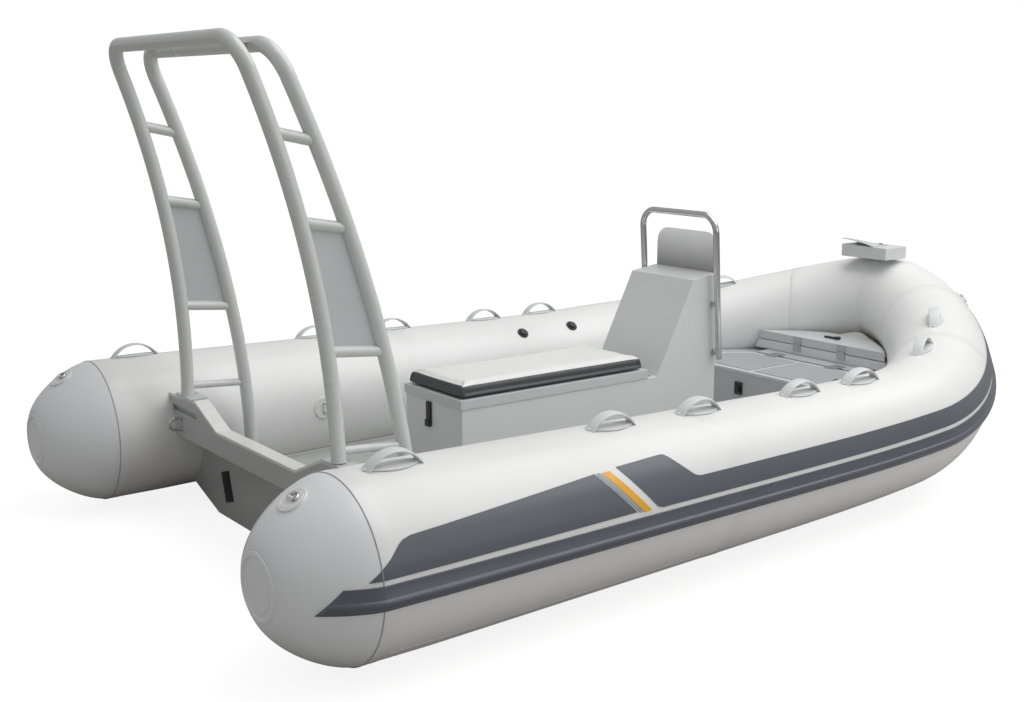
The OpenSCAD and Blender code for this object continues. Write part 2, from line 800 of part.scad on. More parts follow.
// Flat sheet between the legs and between the two lower rungs
module arch_panels() {
    panel_t = 4;
    room = arch_tube_r + 6;
    top_aft = rung_levels[1][0] - 22;
    top_fore = rung_levels[1][1] - 22;
    low_aft = rung_levels[2][0] + 22;
    low_fore = rung_levels[2][1] + 22;
    lean = atan(0.0666);
    mid_aft = (top_aft + low_aft) / 2;
    mid_fore = (top_fore + low_fore) / 2;
    color("silver") afloat() both_sides() translate([0, arch_half(0), 0]) rotate([lean, 0, 0])
        side_plate([
            [aft_leg_x(low_aft) + room, low_aft],
            [fore_leg_x(low_fore) - room, low_fore],
            [fore_leg_x(mid_fore) - room, mid_fore],
            [fore_leg_x(top_fore) - room, top_fore],
            [aft_leg_x(top_aft) + room, top_aft],
            [aft_leg_x(mid_aft) + room, mid_aft]
        ], panel_t);
}

// Height of the cap's outer run at a distance from the centreline
function cap_up(y) = transom_crease_up - 13 * (y - transom_crease_half) / (800 - transom_crease_half);

// Bolted plates under the four legs, whose leaning feet they clear
module arch_feet() {
    foot_room = 1.8;
    aft_y = arch_half(aft_foot_up);
    color("gainsboro") afloat() both_sides() {
        cross_plate([
            [aft_y - 70, cap_up(aft_y - 70) + gap],
            [aft_y + 60, cap_up(aft_y + 60) + gap],
            [aft_y + 60, aft_foot_up - foot_room],
            [aft_y - 70, aft_foot_up - foot_room]
        ], -10, 68);
        translate([fore_leg_x(fore_foot_up) - 55, arch_half(fore_foot_up) - 45, -deck_depth])
            cube([110, 90, fore_foot_up - foot_room + deck_depth]);
    }
}

// Small plates that tie the two hoops together at their tops
module arch_top_plates() {
    plate_y = 345;
    plate_w = 60;
    up = arch_fore_up + 8;
    from_x = aft_leg_x(arch_aft_up);
    to_x = fore_leg_x(arch_fore_up);
    color("dimgray") afloat() both_sides()
        translate([from_x + arch_tube_r - 1.2, plate_y - plate_w / 2, up - 6])
            cube([to_x - from_x - 2 * arch_tube_r + 0.8, plate_w, 6]);
}

// ---- Console and seat -----------------------------------------------------

// Aft end of the seat lid and place of its hinge axis
seat_lid_aft_x = seat_aft_x - 6;
seat_axis_x = slope_low_x - 42;

function box_outline(w) = [
    [seat_aft_x + w, -deck_depth - (w > 0 ? 1 : 0)],
    [console_fore_x - w, -deck_depth - (w > 0 ? 1 : 0)],
    [console_fore_x - w, console_fore_up - w],
    [slope_top_x + w * 0.8, console_aft_up - w],
    [slope_low_x + w, seat_rim_up + w],
    [slope_low_x + w, seat_rim_up - w]
];

module console_seat() {
    color([0.78, 0.8, 0.8]) afloat() difference() {
        side_plate(concat(box_outline(0), [[seat_aft_x, seat_rim_up]]), 2 * console_half);
        side_plate(concat(box_outline(sheet_t), [[seat_aft_x + sheet_t, seat_rim_up - sheet_t]]),
            2 * (console_half - sheet_t));
        // Mouth of the locker under the seat
        translate([seat_aft_x + 30, -console_half + 30, seat_rim_up - sheet_t - 1])
            cube([seat_axis_x - seat_aft_x - 70, 2 * console_half - 60, sheet_t + 2]);
    }
}

// The lid with the leaf that joins it to the hinge's barrel
module seat_lid() {
    color("gainsboro") afloat() {
        translate([seat_lid_aft_x, -console_half - 4, seat_rim_up + gap])
            cube([seat_axis_x - seat_lid_aft_x - 10, 2 * console_half + 8, seat_lid_h]);
        translate([seat_axis_x - 11, -console_half + 30, seat_rim_up + 3])
            cube([6, 2 * console_half - 60, 3]);
    }
}

module seat_cushion() {
    round_r = 14;
    color("white") afloat() translate([seat_lid_aft_x, 0, seat_rim_up + seat_lid_h + 2 * gap])
        linear_extrude(height = cushion_t) {
            translate([round_r, -console_half - 6 + round_r])
                square([
                    seat_axis_x - seat_lid_aft_x - 16 - 2 * round_r,
                    2 * console_half + 12 - 2 * round_r
                ]);
            translate([0, -console_half - 6 + round_r])
                square([seat_axis_x - seat_lid_aft_x - 16, 2 * console_half + 12 - 2 * round_r]);
            translate([round_r, -console_half - 6])
                square([seat_axis_x - seat_lid_aft_x - 16 - 2 * round_r, 2 * console_half + 12]);
            for (u = [round_r, seat_axis_x - seat_lid_aft_x - 16 - round_r], v = [-1, 1])
                translate([u, v * (console_half + 6 - round_r)]) circle(r = round_r);
        }
}

// Strap and catch that hold the seat lid down, on the box's aft face
module seat_latch() {
    catch_w = 26;
    color([0.1, 0.1, 0.1]) afloat() {
        translate([seat_aft_x - 8 - gap, 10, seat_rim_up - 90]) cube([8, catch_w, 84]);
        translate([seat_aft_x - 14 - gap, 10, seat_rim_up - 96]) cube([14, catch_w, 24]);
    }
}

// Barrel of the seat lid's hinge with the leaf that is fixed to the box
module seat_hinge() {
    barrel_r = 4;
    color("silver") afloat() {
        translate([seat_axis_x, 0, seat_rim_up + barrel_r + gap]) rotate([90, 0, 0])
            cylinder(h = 2 * console_half - 40, r = barrel_r, center = true);
        translate([seat_axis_x, -console_half + 20, seat_rim_up + gap])
            cube([28, 2 * console_half - 40, 3]);
    }
}

// ---- Windscreen and rail --------------------------------------------------

module windscreen() {
    screen_t = 5;
    foot_up = console_fore_up - 70;
    color([0.35, 0.36, 0.38, 0.6]) afloat()
        translate([console_fore_x + gap, 0, 0]) rotate([90, 0, 90]) linear_extrude(height = screen_t) {
            translate([-screen_half, foot_up])
                square([2 * screen_half, screen_top_up - screen_corner_r - foot_up]);
            translate([-screen_half + screen_corner_r, foot_up])
                square([2 * (screen_half - screen_corner_r), screen_top_up - foot_up]);
            for (v = [-1, 1])
                translate([v * (screen_half - screen_corner_r), screen_top_up - screen_corner_r])
                circle(r = screen_corner_r);
        }
}

rail_foot_x = 1936;
rail_foot_up = 190;

// Round bar, bent twice to an upside-down U that leans aft
module console_rail() {
    leg = (rail_top_up - rail_foot_up) / cos(rail_lean) - rail_bend_r;
    color("silver") afloat() translate([rail_foot_x, 0, rail_foot_up]) rotate([0, -rail_lean, 0]) {
        both_sides() {
            translate([0, rail_half, 0]) cylinder(h = leg, r = rail_r);
            translate([0, rail_half - rail_bend_r, leg]) rotate([90, 0, 90])
                rotate_extrude(angle = 90) translate([rail_bend_r, 0]) circle(r = rail_r, $fn = 48);
        }
        translate([0, 0, leg + rail_bend_r]) rotate([90, 0, 0])
            cylinder(h = 2 * (rail_half - rail_bend_r), r = rail_r, center = true);
        // Pegs with round flanges that hold the legs off the console's sides
        both_sides() for (up = [25, 222]) translate([0, console_half + gap, up]) rotate([-90, 0, 0]) {
            cylinder(h = rail_half - console_half - gap, r = 8);
            cylinder(h = 4, r = 14);
        }
    }
}

// ---- Fore platform --------------------------------------------------------

// Plan of the room between the tubes at a height, with a margin to the skin,
// and clear of the hull's ledge where that stands higher
function room_edge(s, up, margin) =
    up < ledge_up(s) + 14
        ? let (p = ledge_edge(s, margin, 0)) [p[0], max(0, p[1])]
        : let (out = sqrt(max(0, pow(s[4] + margin, 2) - pow(up - s[2], 2))))
          let (p = section_point(s, -out, 0)) [p[0], max(0, p[1])];

// Half-width of that room at a place, between the nearest sections
function room_half(x, up, margin) =
    let (edge = [for (a = bow_angles) room_edge(bow_section(a), up, margin)])
    let (pair = [for (i = [0 : len(edge) - 2])
        if (edge[i][0] <= x && edge[i + 1][0] > x) [edge[i], edge[i + 1]]])
    pair[0][0][1] + (pair[0][1][1] - pair[0][0][1]) * (x - pair[0][0][0])
        / (pair[0][1][0] - pair[0][0][0]);

// Plan outline between two places, hugging the tubes at a height
function room_plan(x_from, x_to, up, margin) = both_halves(concat(
    [[x_from, room_half(x_from, up, margin)]],
    [for (a = bow_angles)
        let (p = room_edge(bow_section(a), up, margin))
        if (p[0] > x_from + 5 && p[0] < x_to - 5 && p[1] > 0) p],
    [[x_to, room_half(x_to, up, margin)]]
));

hatch_aft_x = platform_x + 4;
hatch_outline = both_halves([
    [hatch_aft_x, hatch_half],
    [hatch_aft_x + 240, hatch_half - 20],
    [hatch_axis_x - 12, hatch_half - 95]
]);
hatch_hole = both_halves([
    [platform_x + sheet_t + 20, hatch_half - 30],
    [hatch_aft_x + 232, hatch_half - 50],
    [hatch_axis_x - 40, hatch_half - 120]
]);
frame_t = 6;
frame_up = hatch_up - gap - frame_t;
strip_x = hatch_axis_x + 12;

module fore_platform() {
    color([0.78, 0.8, 0.8]) afloat() {
        difference() {
            deck_plate(room_plan(platform_x, locker_x - gap, frame_up, 5), frame_up, frame_t);
            deck_plate(hatch_hole, frame_up - 1, frame_t + 2);
        }
        // Raised strip that carries the hatch's hinges
        deck_plate(both_halves([
            [strip_x, hatch_half - 95],
            [locker_x - gap, hatch_half - 95]
        ]), frame_up + frame_t, platform_up - frame_up - frame_t);
        // Aft panel down to the deck
        cross_plate(across(concat(
            [[room_half(platform_x, -deck_depth, 7), -deck_depth]],
            [for (up = [-deck_depth + 12 : 12 : frame_up - 5]) [room_half(platform_x, up, 7), up]],
            [[room_half(platform_x, frame_up + frame_t, 5), frame_up + frame_t]]
        )), platform_x, sheet_t);
    }
}

module fore_hatch() {
    color("white") afloat() deck_plate(hatch_outline, hatch_up, lid_t);
}

// Two grey treads on the hatch, one on each side of its middle
module nonskid_panels() {
    border = 28;
    color("silver") afloat() both_sides()
        deck_plate([
            [hatch_aft_x + border, 12],
            [hatch_axis_x - 12 - border, 12],
            [hatch_axis_x - 12 - border, hatch_half - 95 - border],
            [hatch_aft_x + 236, hatch_half - 20 - border],
            [hatch_aft_x + border, hatch_half - border]
        ], platform_up + gap, 2);
}

module hatch_latch() {
    color([0.1, 0.1, 0.1]) afloat() {
        translate([platform_x - 8 - gap, 22, -56]) cube([8, 40, 54]);
        translate([platform_x - 16 - gap, 30, -40]) cube([16, 24, 20]);
    }
}

// Hinge barrels of the hatch, each with its leaf on the platform's strip
hinge_y = 172;
hatch_barrel_r = 5;
hatch_axis_up = platform_up + 1.5;

module hatch_hinges() {
    color("silver") afloat() both_sides() translate([hatch_axis_x, hinge_y, 0]) {
        translate([0, 0, hatch_axis_up]) rotate([90, 0, 0])
            cylinder(h = 60, r = hatch_barrel_r, center = true);
        translate([0, -30, platform_up + gap]) cube([44, 60, 3]);
    }
}

// Hinge leaves on the hatch
module hatch_leaves() {
    color("silver") afloat() both_sides()
        translate([hatch_axis_x - 38, hinge_y - 28, platform_up + gap])
            cube([38 - hatch_barrel_r - 1, 56, 3]);
}

// ---- Bow locker -----------------------------------------------------------

lid_end_x = locker_x + 205;
locker_barrel_r = 4;
locker_axis_x = locker_x - locker_barrel_r - 0.6;
// The wall behind the lid's skirt stands back so that the skirt can swing
skirt_t = 6;
setback = 12;

module bow_locker() {
    wall_top = locker_axis_up - 8;
    rim_up = locker_up - lid_t - gap - frame_t;
    base_up = platform_up + gap;
    wall_fore_x = locker_x + setback + 6;
    color([0.78, 0.8, 0.8]) afloat() {
        cross_plate(across([
            [room_half(wall_fore_x, base_up, 5), base_up],
            [room_half(wall_fore_x, wall_top, 5), wall_top]
        ]), locker_x, wall_fore_x - locker_x);
        cross_plate(across([
            [lid_edge(locker_x) - 30, wall_top],
            [lid_edge(locker_x) - 30, rim_up]
        ]), locker_x + setback, 6);
        difference() {
            deck_plate(room_plan(locker_x + setback, lid_end_x + 20, rim_up, 5), rim_up, frame_t);
            deck_plate(both_halves([
                [locker_x + 30, lid_edge(locker_x) - 50],
                [lid_end_x - 30, lid_edge(lid_end_x) - 50]
            ]), rim_up - 1, frame_t + 2);
        }
    }
}

// Half-width of the lid, which has to swing up past the tubes' widest part
function lid_edge(x) = room_half(x, rise_at(x), 9);

module bow_locker_lid() {
    half = lid_edge(locker_x);
    color("white") afloat() {
        deck_plate(both_halves([
            [locker_x, half],
            [(locker_x + lid_end_x) / 2, lid_edge((locker_x + lid_end_x) / 2)],
            [lid_end_x, lid_edge(lid_end_x)]
        ]), locker_up - lid_t, lid_t);
        cross_plate(across([
            [half - 2, locker_axis_up - 4],
            [half - 2, locker_up - lid_t]
        ]), locker_x, skirt_t);
    }
}

module locker_handle() {
    color([0.1, 0.1, 0.1]) afloat() translate([locker_x + 90, 0, locker_up + gap]) {
        translate([-12, -40, 0]) cube([24, 22, 12]);
        translate([-8, -18, 0]) cube([16, 58, 8]);
    }
}

// Hinge barrels of the lid, each with its leaf on the locker's aft face
locker_hinge_y = 127;
leaf_t = 3;

module locker_hinges() {
    color("silver") afloat() both_sides() translate([0, locker_hinge_y, 0]) {
        translate([locker_axis_x, 0, locker_axis_up]) rotate([90, 0, 0])
            cylinder(h = 46, r = locker_barrel_r, center = true);
        translate([locker_x - gap - leaf_t, -23, locker_axis_up - 36]) cube([leaf_t, 46, 36]);
    }
}

// Hinge leaves on the lid's skirt
module locker_leaves() {
    color("silver") afloat() both_sides()
        translate([locker_x - gap - leaf_t, locker_hinge_y - 23, locker_axis_up + 4.6])
            cube([leaf_t, 46, 27]);
}

// ---- Box on the bow tube --------------------------------------------------

// Open-backed box on a foot that rests on the crown of the tube
module bow_box() {
    box_x = stem_x - 170;
    box_l = 150;
    box_h = 56;
    foot_up = rise_at(stem_x) + tube_r_stem + gap;
    wall = 5;
    color("silver") afloat() {
        translate([box_x, -bow_box_w / 2, foot_up + 4]) difference() {
            cube([box_l, bow_box_w, box_h]);
            translate([wall, wall, -1]) cube([box_l - 2 * wall, bow_box_w - 2 * wall, box_h - wall + 1]);
        }
        translate([stem_x - 60, -70, foot_up]) cube([62, 140, 5]);
    }
}

tube_port();
tube_starboard();
bow_tube();
stern_cone_port();
stern_cone_starboard();
rub_strake_port();
rub_strake_starboard();
rub_strake_bow();
hull_bottom();
hull_ledges();
spray_rails();
keel_band();
deck_floor();
transom();
transom_cap();
transom_knees();
towing_eyes();
scupper_flaps();
grab_handles_port();
grab_handles_starboard();
stern_lashing_rings();
inner_lashing_rings();
bow_lashing_rings();
inflation_valves();
arch_aft_hoop();
arch_fore_hoop();
arch_rungs();
arch_panels();
arch_feet();
arch_top_plates();
console_seat();
seat_lid();
seat_cushion();
seat_latch();
seat_hinge();
windscreen();
console_rail();
fore_platform();
fore_hatch();
nonskid_panels();
hatch_latch();
hatch_hinges();
hatch_leaves();
bow_locker();
bow_locker_lid();
locker_handle();
locker_hinges();
locker_leaves();
bow_box();
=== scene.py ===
import math

import bmesh
import bpy
import numpy as np
from bpy.props import FloatProperty, FloatVectorProperty, IntProperty, PointerProperty
from bpy.types import Operator, Panel, PropertyGroup
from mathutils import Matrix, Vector


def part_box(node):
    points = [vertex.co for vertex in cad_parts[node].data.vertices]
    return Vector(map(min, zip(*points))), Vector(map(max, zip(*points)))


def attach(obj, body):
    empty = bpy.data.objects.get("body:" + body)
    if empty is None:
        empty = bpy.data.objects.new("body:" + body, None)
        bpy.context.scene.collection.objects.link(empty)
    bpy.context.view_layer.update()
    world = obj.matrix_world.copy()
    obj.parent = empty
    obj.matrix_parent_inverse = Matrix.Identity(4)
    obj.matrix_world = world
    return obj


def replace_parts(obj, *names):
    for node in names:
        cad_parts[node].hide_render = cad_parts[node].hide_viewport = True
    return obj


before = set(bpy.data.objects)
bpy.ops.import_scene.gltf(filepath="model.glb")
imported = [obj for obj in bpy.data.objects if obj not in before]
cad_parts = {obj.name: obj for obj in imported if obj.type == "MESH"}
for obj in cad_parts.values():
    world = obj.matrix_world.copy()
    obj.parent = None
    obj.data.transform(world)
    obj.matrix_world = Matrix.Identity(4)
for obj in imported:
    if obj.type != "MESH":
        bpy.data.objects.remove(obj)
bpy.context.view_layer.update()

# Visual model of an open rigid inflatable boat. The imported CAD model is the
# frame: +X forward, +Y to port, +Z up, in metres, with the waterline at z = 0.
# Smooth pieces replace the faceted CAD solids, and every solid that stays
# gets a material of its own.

bl_info = {
    "name": "Rigid inflatable boat",
    "version": (1, 0, 0),
    "blender": (4, 5, 0),
    "location": "View3D > Sidebar > Boat",
    "description": "Builds the looks of an open inflatable boat round its CAD frame",
    "category": "Object",
}

HULL_BODY = "boat"


# ---- Settings ---------------------------------------------------------------

def length_property(label, purpose, value):
    return FloatProperty(name=label, description=purpose, default=value, unit="LENGTH")


class BoatSizes(PropertyGroup):
    """Sizes of the boat's smooth pieces, the same as those of its CAD frame."""
    axis_height: length_property(
        "Tube axis height", "Height of the stern tubes' axis above the water", 0.290)
    tube_spacing: length_property("Tube spacing", "Distance between the straight tubes' axes", 1.810)
    stern_radius: length_property("Stern radius", "Radius of a tube at the stern", 0.260)
    seam_radius: length_property("Seam radius", "Radius of a tube where it meets the bow tube", 0.240)
    shoulder_radius: length_property(
        "Shoulder radius", "Radius of the bow tube where it starts to turn in", 0.220)
    stem_radius: length_property("Stem radius", "Radius of the bow tube at the stem", 0.198)
    seam_x: length_property("Seam place", "Place of the seam between side and bow tube", 1.085)
    shoulder_x: length_property("Shoulder place", "Place where the bow tube starts to turn in", 2.140)
    bow_length: length_property("Bow length", "Length of the turned-in bow", 1.111)
    bow_power: FloatProperty(
        name="Bow roundness", description="Exponent of the bow's outline, where 2 is an ellipse",
        default=1.6)
    bow_rise: length_property("Bow rise", "Rise of the tube's axis at the stem", 0.288)
    cone_start: length_property("Cone start", "Place where a stern cone starts", -0.204)
    cone_length: length_property("Cone length", "Length of a stern cone", 0.224)
    cone_cap_radius: length_property("Cone cap radius", "Radius of the flat cap at a cone's end", 0.095)
    tube_sides: IntProperty(
        name="Tube sides", description="Number of faces round a tube",
        default=96, min=24, max=160)


def colour_property(label, purpose, value):
    return FloatVectorProperty(
        name=label, description=purpose, subtype="COLOR", size=3, min=0, max=1, default=value)


class BoatColours(PropertyGroup):
    """Base colours of the boat's finishes, as scene-linear values."""
    tube: colour_property("Tube", "Coated fabric of the tubes", (0.80, 0.80, 0.795))
    # The cones are of the tubes' fabric; this colour, a little darker and bluer than the tube's, is painted
    # shade of their aft-facing sides.
    cone: colour_property("Cone", "Coated fabric of the stern cones", (0.76, 0.77, 0.785))
    slate: colour_property("Slate", "Dark panels and the band", (0.095, 0.110, 0.132))
    strake: colour_property("Strake", "Rubber of the strake", (0.085, 0.095, 0.118))
    accent: colour_property("Accent", "Slanted accent bar", (0.85, 0.42, 0.02))
    gelcoat: colour_property("Gelcoat", "Hull and transom cap", (0.76, 0.76, 0.74))
    deck: colour_property("Deck", "Deck floor", (0.50, 0.51, 0.50))
    sheet: colour_property("Painted sheet", "Console, platform and locker", (0.70, 0.73, 0.72))
    lid: colour_property("Lid", "Lids and hatches", (0.60, 0.62, 0.62))
    arch: colour_property("Arch", "Tubes of the arch", (0.64, 0.66, 0.65))
    panel: colour_property("Arch panel", "Panels and feet of the arch", (0.55, 0.58, 0.58))
    vinyl: colour_property("Cushion top", "Top vinyl of the cushion", (0.80, 0.80, 0.79))
    charcoal: colour_property("Cushion side", "Side fabric of the cushion", (0.055, 0.057, 0.060))


# ---- Meshes -----------------------------------------------------------------

def grid_faces(rows, columns, close_rows=False, close_columns=False):
    """Quads of a grid whose points are numbered row by row, closed round either way."""
    i = np.arange(rows if close_rows else rows - 1)
    j = np.arange(columns if close_columns else columns - 1)
    i, j = np.meshgrid(i, j, indexing="ij")
    following_i = (i + 1) % rows
    following_j = (j + 1) % columns
    quads = [i * columns + j, following_i * columns + j,
             following_i * columns + following_j, i * columns + following_j]
    return np.stack(quads, -1).reshape(-1, 4)


def finish_piece(obj, material, body, smooth_angle):
    """Gives a new mesh its shading, material and body."""
    obj.data.shade_smooth()
    obj.data.set_sharp_from_angle(angle=math.radians(smooth_angle))
    for each in material if isinstance(material, (list, tuple)) else [material]:
        obj.data.materials.append(each)
    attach(obj, body)
    return obj


def new_object(name, points, faces):
    """A mesh object; spaces in its name become underscores."""
    name = name.replace(" ", "_")
    mesh = bpy.data.meshes.new(name)
    mesh.from_pydata(np.asarray(points, float).reshape(-1, 3).tolist(), [], faces)
    mesh.update()
    obj = bpy.data.objects.new(name, mesh)
    bpy.context.scene.collection.objects.link(obj)
    return obj


def turn_outwards(obj):
    """Merges doubles and turns the faces of closed shells outwards."""
    shell = bmesh.new()
    shell.from_mesh(obj.data)
    bmesh.ops.remove_doubles(shell, verts=shell.verts, dist=1e-6)
    bmesh.ops.recalc_face_normals(shell, faces=shell.faces)
    shell.to_mesh(obj.data)
    shell.free()


def solid_grid(name, points, material, body=HULL_BODY, close_rows=False, smooth_angle=40):
    """Closed solid from rings of points [row, column, xyz], with flat ends unless the rows close."""
    rows, columns = points.shape[:2]
    faces = grid_faces(rows, columns, close_rows, True).tolist()
    if not close_rows:
        faces.append(list(range(columns)))
        faces.append(list(range((rows - 1) * columns, rows * columns))[::-1])
    obj = new_object(name, points, faces)
    turn_outwards(obj)
    return finish_piece(obj, material, body, smooth_angle)


def joined(name, objects, material, body=HULL_BODY, smooth_angle=40):
    """One object made of several new ones on the same body."""
    name = name.replace(" ", "_")
    merged = bmesh.new()
    for obj in objects:
        merged.from_mesh(obj.data)
    mesh = bpy.data.meshes.new(name)
    merged.to_mesh(mesh)
    merged.free()
    for obj in objects:
        bpy.data.objects.remove(obj)
    whole = bpy.data.objects.new(name, mesh)
    bpy.context.scene.collection.objects.link(whole)
    return finish_piece(whole, material, body, smooth_angle)


def skin_patch(name, points, outward, thickness, material, body=HULL_BODY):
    """A thin closed sheet: a grid of points on its outer face, thickened inwards."""
    rows, columns = points.shape[:2]
    faces = grid_faces(rows, columns)
    across = np.cross(points[1:, :-1] - points[:-1, :-1], points[:-1, 1:] - points[:-1, :-1])
    if (across.reshape(-1, 3) @ np.asarray(outward, float)).sum() < 0:
        faces = faces[:, ::-1]
    obj = new_object(name, points, faces.tolist())
    wall = obj.modifiers.new("Wall", "SOLIDIFY")
    wall.thickness = thickness
    wall.offset = -1
    return finish_piece(obj, material, body, 60)


def sweep(path, profile, reference=(1, 0, 0), close=False):
    """Rings of a profile (side, up) carried along a path. Side is the tangent
    crossed with the reference direction, and up is the tangent crossed with side."""
    path = np.asarray(path, float)
    profile = np.asarray(profile, float)
    if close:
        tangent = np.roll(path, -1, 0) - np.roll(path, 1, 0)
    else:
        tangent = np.gradient(path, axis=0)
    tangent /= np.linalg.norm(tangent, axis=1, keepdims=True)
    side = np.cross(tangent, np.asarray(reference, float))
    side /= np.linalg.norm(side, axis=1, keepdims=True)
    up = np.cross(tangent, side)
    return (path[:, None] + profile[None, :, :1] * side[:, None]
            + profile[None, :, 1:] * up[:, None])


def circle_profile(radius, sides=24):
    turn = np.linspace(0, 2 * np.pi, sides, endpoint=False)
    return radius * np.stack([np.cos(turn), np.sin(turn)], -1)


def rounded_profile(width, height, power=4.0, sides=24):
    """Outline of a bar's section: a superellipse, flat on its sides and round at its edges."""
    turn = np.linspace(0, 2 * np.pi, sides, endpoint=False)
    c, s = np.cos(turn), np.sin(turn)
    return np.stack([np.sign(c) * np.abs(c) ** (2 / power) * width / 2,
                     np.sign(s) * np.abs(s) ** (2 / power) * height / 2], -1)


def slab(name, outline, plane, low, high, material, bevel=0.0, body=HULL_BODY):
    """An outline in one of the planes xy, xz or yz, drawn out from low to high, with rounded edges."""
    outline = np.asarray(outline, float)
    order = {"xy": (0, 1, 2), "xz": (0, 2, 1), "yz": (1, 2, 0)}[plane]
    count = len(outline)
    points = np.zeros((2, count, 3))
    points[:, :, order[0]] = outline[:, 0]
    points[:, :, order[1]] = outline[:, 1]
    points[0, :, order[2]] = low
    points[1, :, order[2]] = high
    faces = grid_faces(2, count, False, True).tolist()
    faces.append(list(range(count)))
    faces.append(list(range(count, 2 * count))[::-1])
    obj = new_object(name, points, faces)
    turn_outwards(obj)
    if bevel:
        edge = obj.modifiers.new("Edge", "BEVEL")
        edge.width = bevel
        edge.segments = 3
        edge.limit_method = "ANGLE"
        edge.angle_limit = math.radians(30)
    return finish_piece(obj, material, body, 35)


def box_outline(low_a, high_a, low_b, high_b):
    return [(low_a, low_b), (high_a, low_b), (high_a, high_b), (low_a, high_b)]


def turned(name, profile, centre, axis, material, sides=48, body=HULL_BODY, start=(1, 0, 0)):
    """A solid of revolution from (radius, height) points along an axis through centre."""
    profile = np.asarray(profile, float)
    axis = np.asarray(axis, float)
    axis = axis / np.linalg.norm(axis)
    first = np.cross(axis, np.asarray(start, float))
    if np.linalg.norm(first) < 0.1:
        first = np.cross(axis, np.array([0.0, 1.0, 0.0]))
    first /= np.linalg.norm(first)
    second = np.cross(axis, first)
    turn = np.linspace(0, 2 * np.pi, sides, endpoint=False)
    ring = np.cos(turn)[:, None] * first + np.sin(turn)[:, None] * second
    points = (np.asarray(centre, float) + profile[:, None, :1] * ring[None]
              + profile[:, None, 1:] * axis)
    return solid_grid(name, points, material, body, smooth_angle=30)


# ---- The run of the tubes ---------------------------------------------------

class TubeRun:
    """Axis and skin of the port half of the tubes, from a stern cone's cap to the stem.
    The radius r of a cone at a share t of its length is cap + (stern - cap) (1 - t^1.466)^0.682.
    Straight to the shoulder, the axis then follows |x/a|^p + |y/b|^p = 1, and its height
    grows with the fourth power of the distance from the seam."""

    def __init__(self, size):
        self.half = size.tube_spacing / 2
        self.up = size.axis_height
        stem = size.shoulder_x + size.bow_length
        share = 2 / size.bow_power
        cone = size.cone_start - size.cone_length * np.sin(np.linspace(np.pi / 2, 0, 60)) ** 1.364
        straight = np.concatenate([cone, np.linspace(size.cone_start, size.shoulder_x, 160)[1:]])
        angle = np.linspace(0, np.pi / 2, 1200)[1:]
        x = np.concatenate([straight, size.shoulder_x + size.bow_length * np.sin(angle) ** share])
        y = np.concatenate([np.full(len(straight), self.half),
                            self.half * np.maximum(np.cos(angle), 0) ** share])
        y[-1] = 0.0
        slope = np.tan(np.minimum(angle, np.pi / 2 - 1e-7)) ** (2 - share)
        heading = np.concatenate([np.zeros(len(straight)),
                                  np.arctan(self.half / size.bow_length * slope)])
        heading[-1] = np.pi / 2
        z = self.up + size.bow_rise * np.clip((x - size.seam_x) / (stem - size.seam_x), 0, 1) ** 4
        along_cone = np.clip((size.cone_start - x) / size.cone_length, 0, 1) ** 0.733
        cap = size.cone_cap_radius
        radius = np.where(
            x < size.cone_start, cap + (size.stern_radius - cap) * (1 - along_cone ** 2) ** 0.682,
            np.interp(x, [0, size.seam_x, size.shoulder_x, stem],
                      [size.stern_radius, size.seam_radius, size.shoulder_radius, size.stem_radius]))
        step = np.sqrt(np.diff(x) ** 2 + np.diff(y) ** 2 + np.diff(z) ** 2)
        self.length = np.concatenate([[0], np.cumsum(step)])
        self.x, self.y, self.z, self.heading, self.radius = x, y, z, heading, radius
        self.total = self.length[-1]

    def at_x(self, x):
        """Distance along the run of a place on the port half."""
        return np.interp(x, self.x, self.length)

    def at_angle(self, size, degrees):
        """Distance along the run of the bow's outline angle, 0 at the shoulder and 90 at the stem."""
        share = np.sin(np.radians(degrees)) ** (2 / size.bow_power)
        return self.at_x(size.shoulder_x + size.bow_length * share)

    def section(self, along):
        """Side, x, y, z, heading and radius at a distance along the run. Past the stem the run
        goes on down the starboard side."""
        along = np.asarray(along, float)
        s = np.where(along > self.total, 2 * self.total - along, along)
        side = np.where(along > self.total, -1.0, 1.0)
        return side, *(np.interp(s, self.length, v) for v in (
            self.x, self.y, self.z, self.heading, self.radius))

    def out(self, along, reach, up):
        """Points at a reach outboard of the axis and at a height over it."""
        along, reach, up = np.broadcast_arrays(*(np.asarray(v, float) for v in (along, reach, up)))
        side, x, y, z, heading = self.section(along)[:5]
        return np.stack([x + reach * np.sin(heading), side * (y + reach * np.cos(heading)), z + up], -1)

    def skin(self, along, turn, lift=0.0):
        """Points at an angle up from straight outboard and at a height over the skin."""
        radius = self.radius_at(along) + np.asarray(lift, float)
        return self.out(along, radius * np.cos(turn), radius * np.sin(turn))

    def ledge(self, along, up, depth):
        """Points at a height over the axis and at a depth outboard of the skin."""
        radius = self.radius_at(along)
        return self.out(along, np.sqrt(np.maximum(radius ** 2 - np.square(up), 1e-6)) + depth, up)

    def radius_at(self, along):
        return self.section(along)[5]

    def fitted(self, along, turn, local):
        """Local points (forward, towards inboard, off the skin) bent round the tube."""
        return self.skin(along + local[..., 0], turn + local[..., 1] / self.radius_at(along), local[..., 2])


def mirrored(points):
    return points * np.array([1.0, -1.0, 1.0])


SIDES = (("port", 1), ("starboard", -1))


def for_side(points, side):
    return points if side > 0 else mirrored(points)


# ---- Shared effects ---------------------------------------------------------

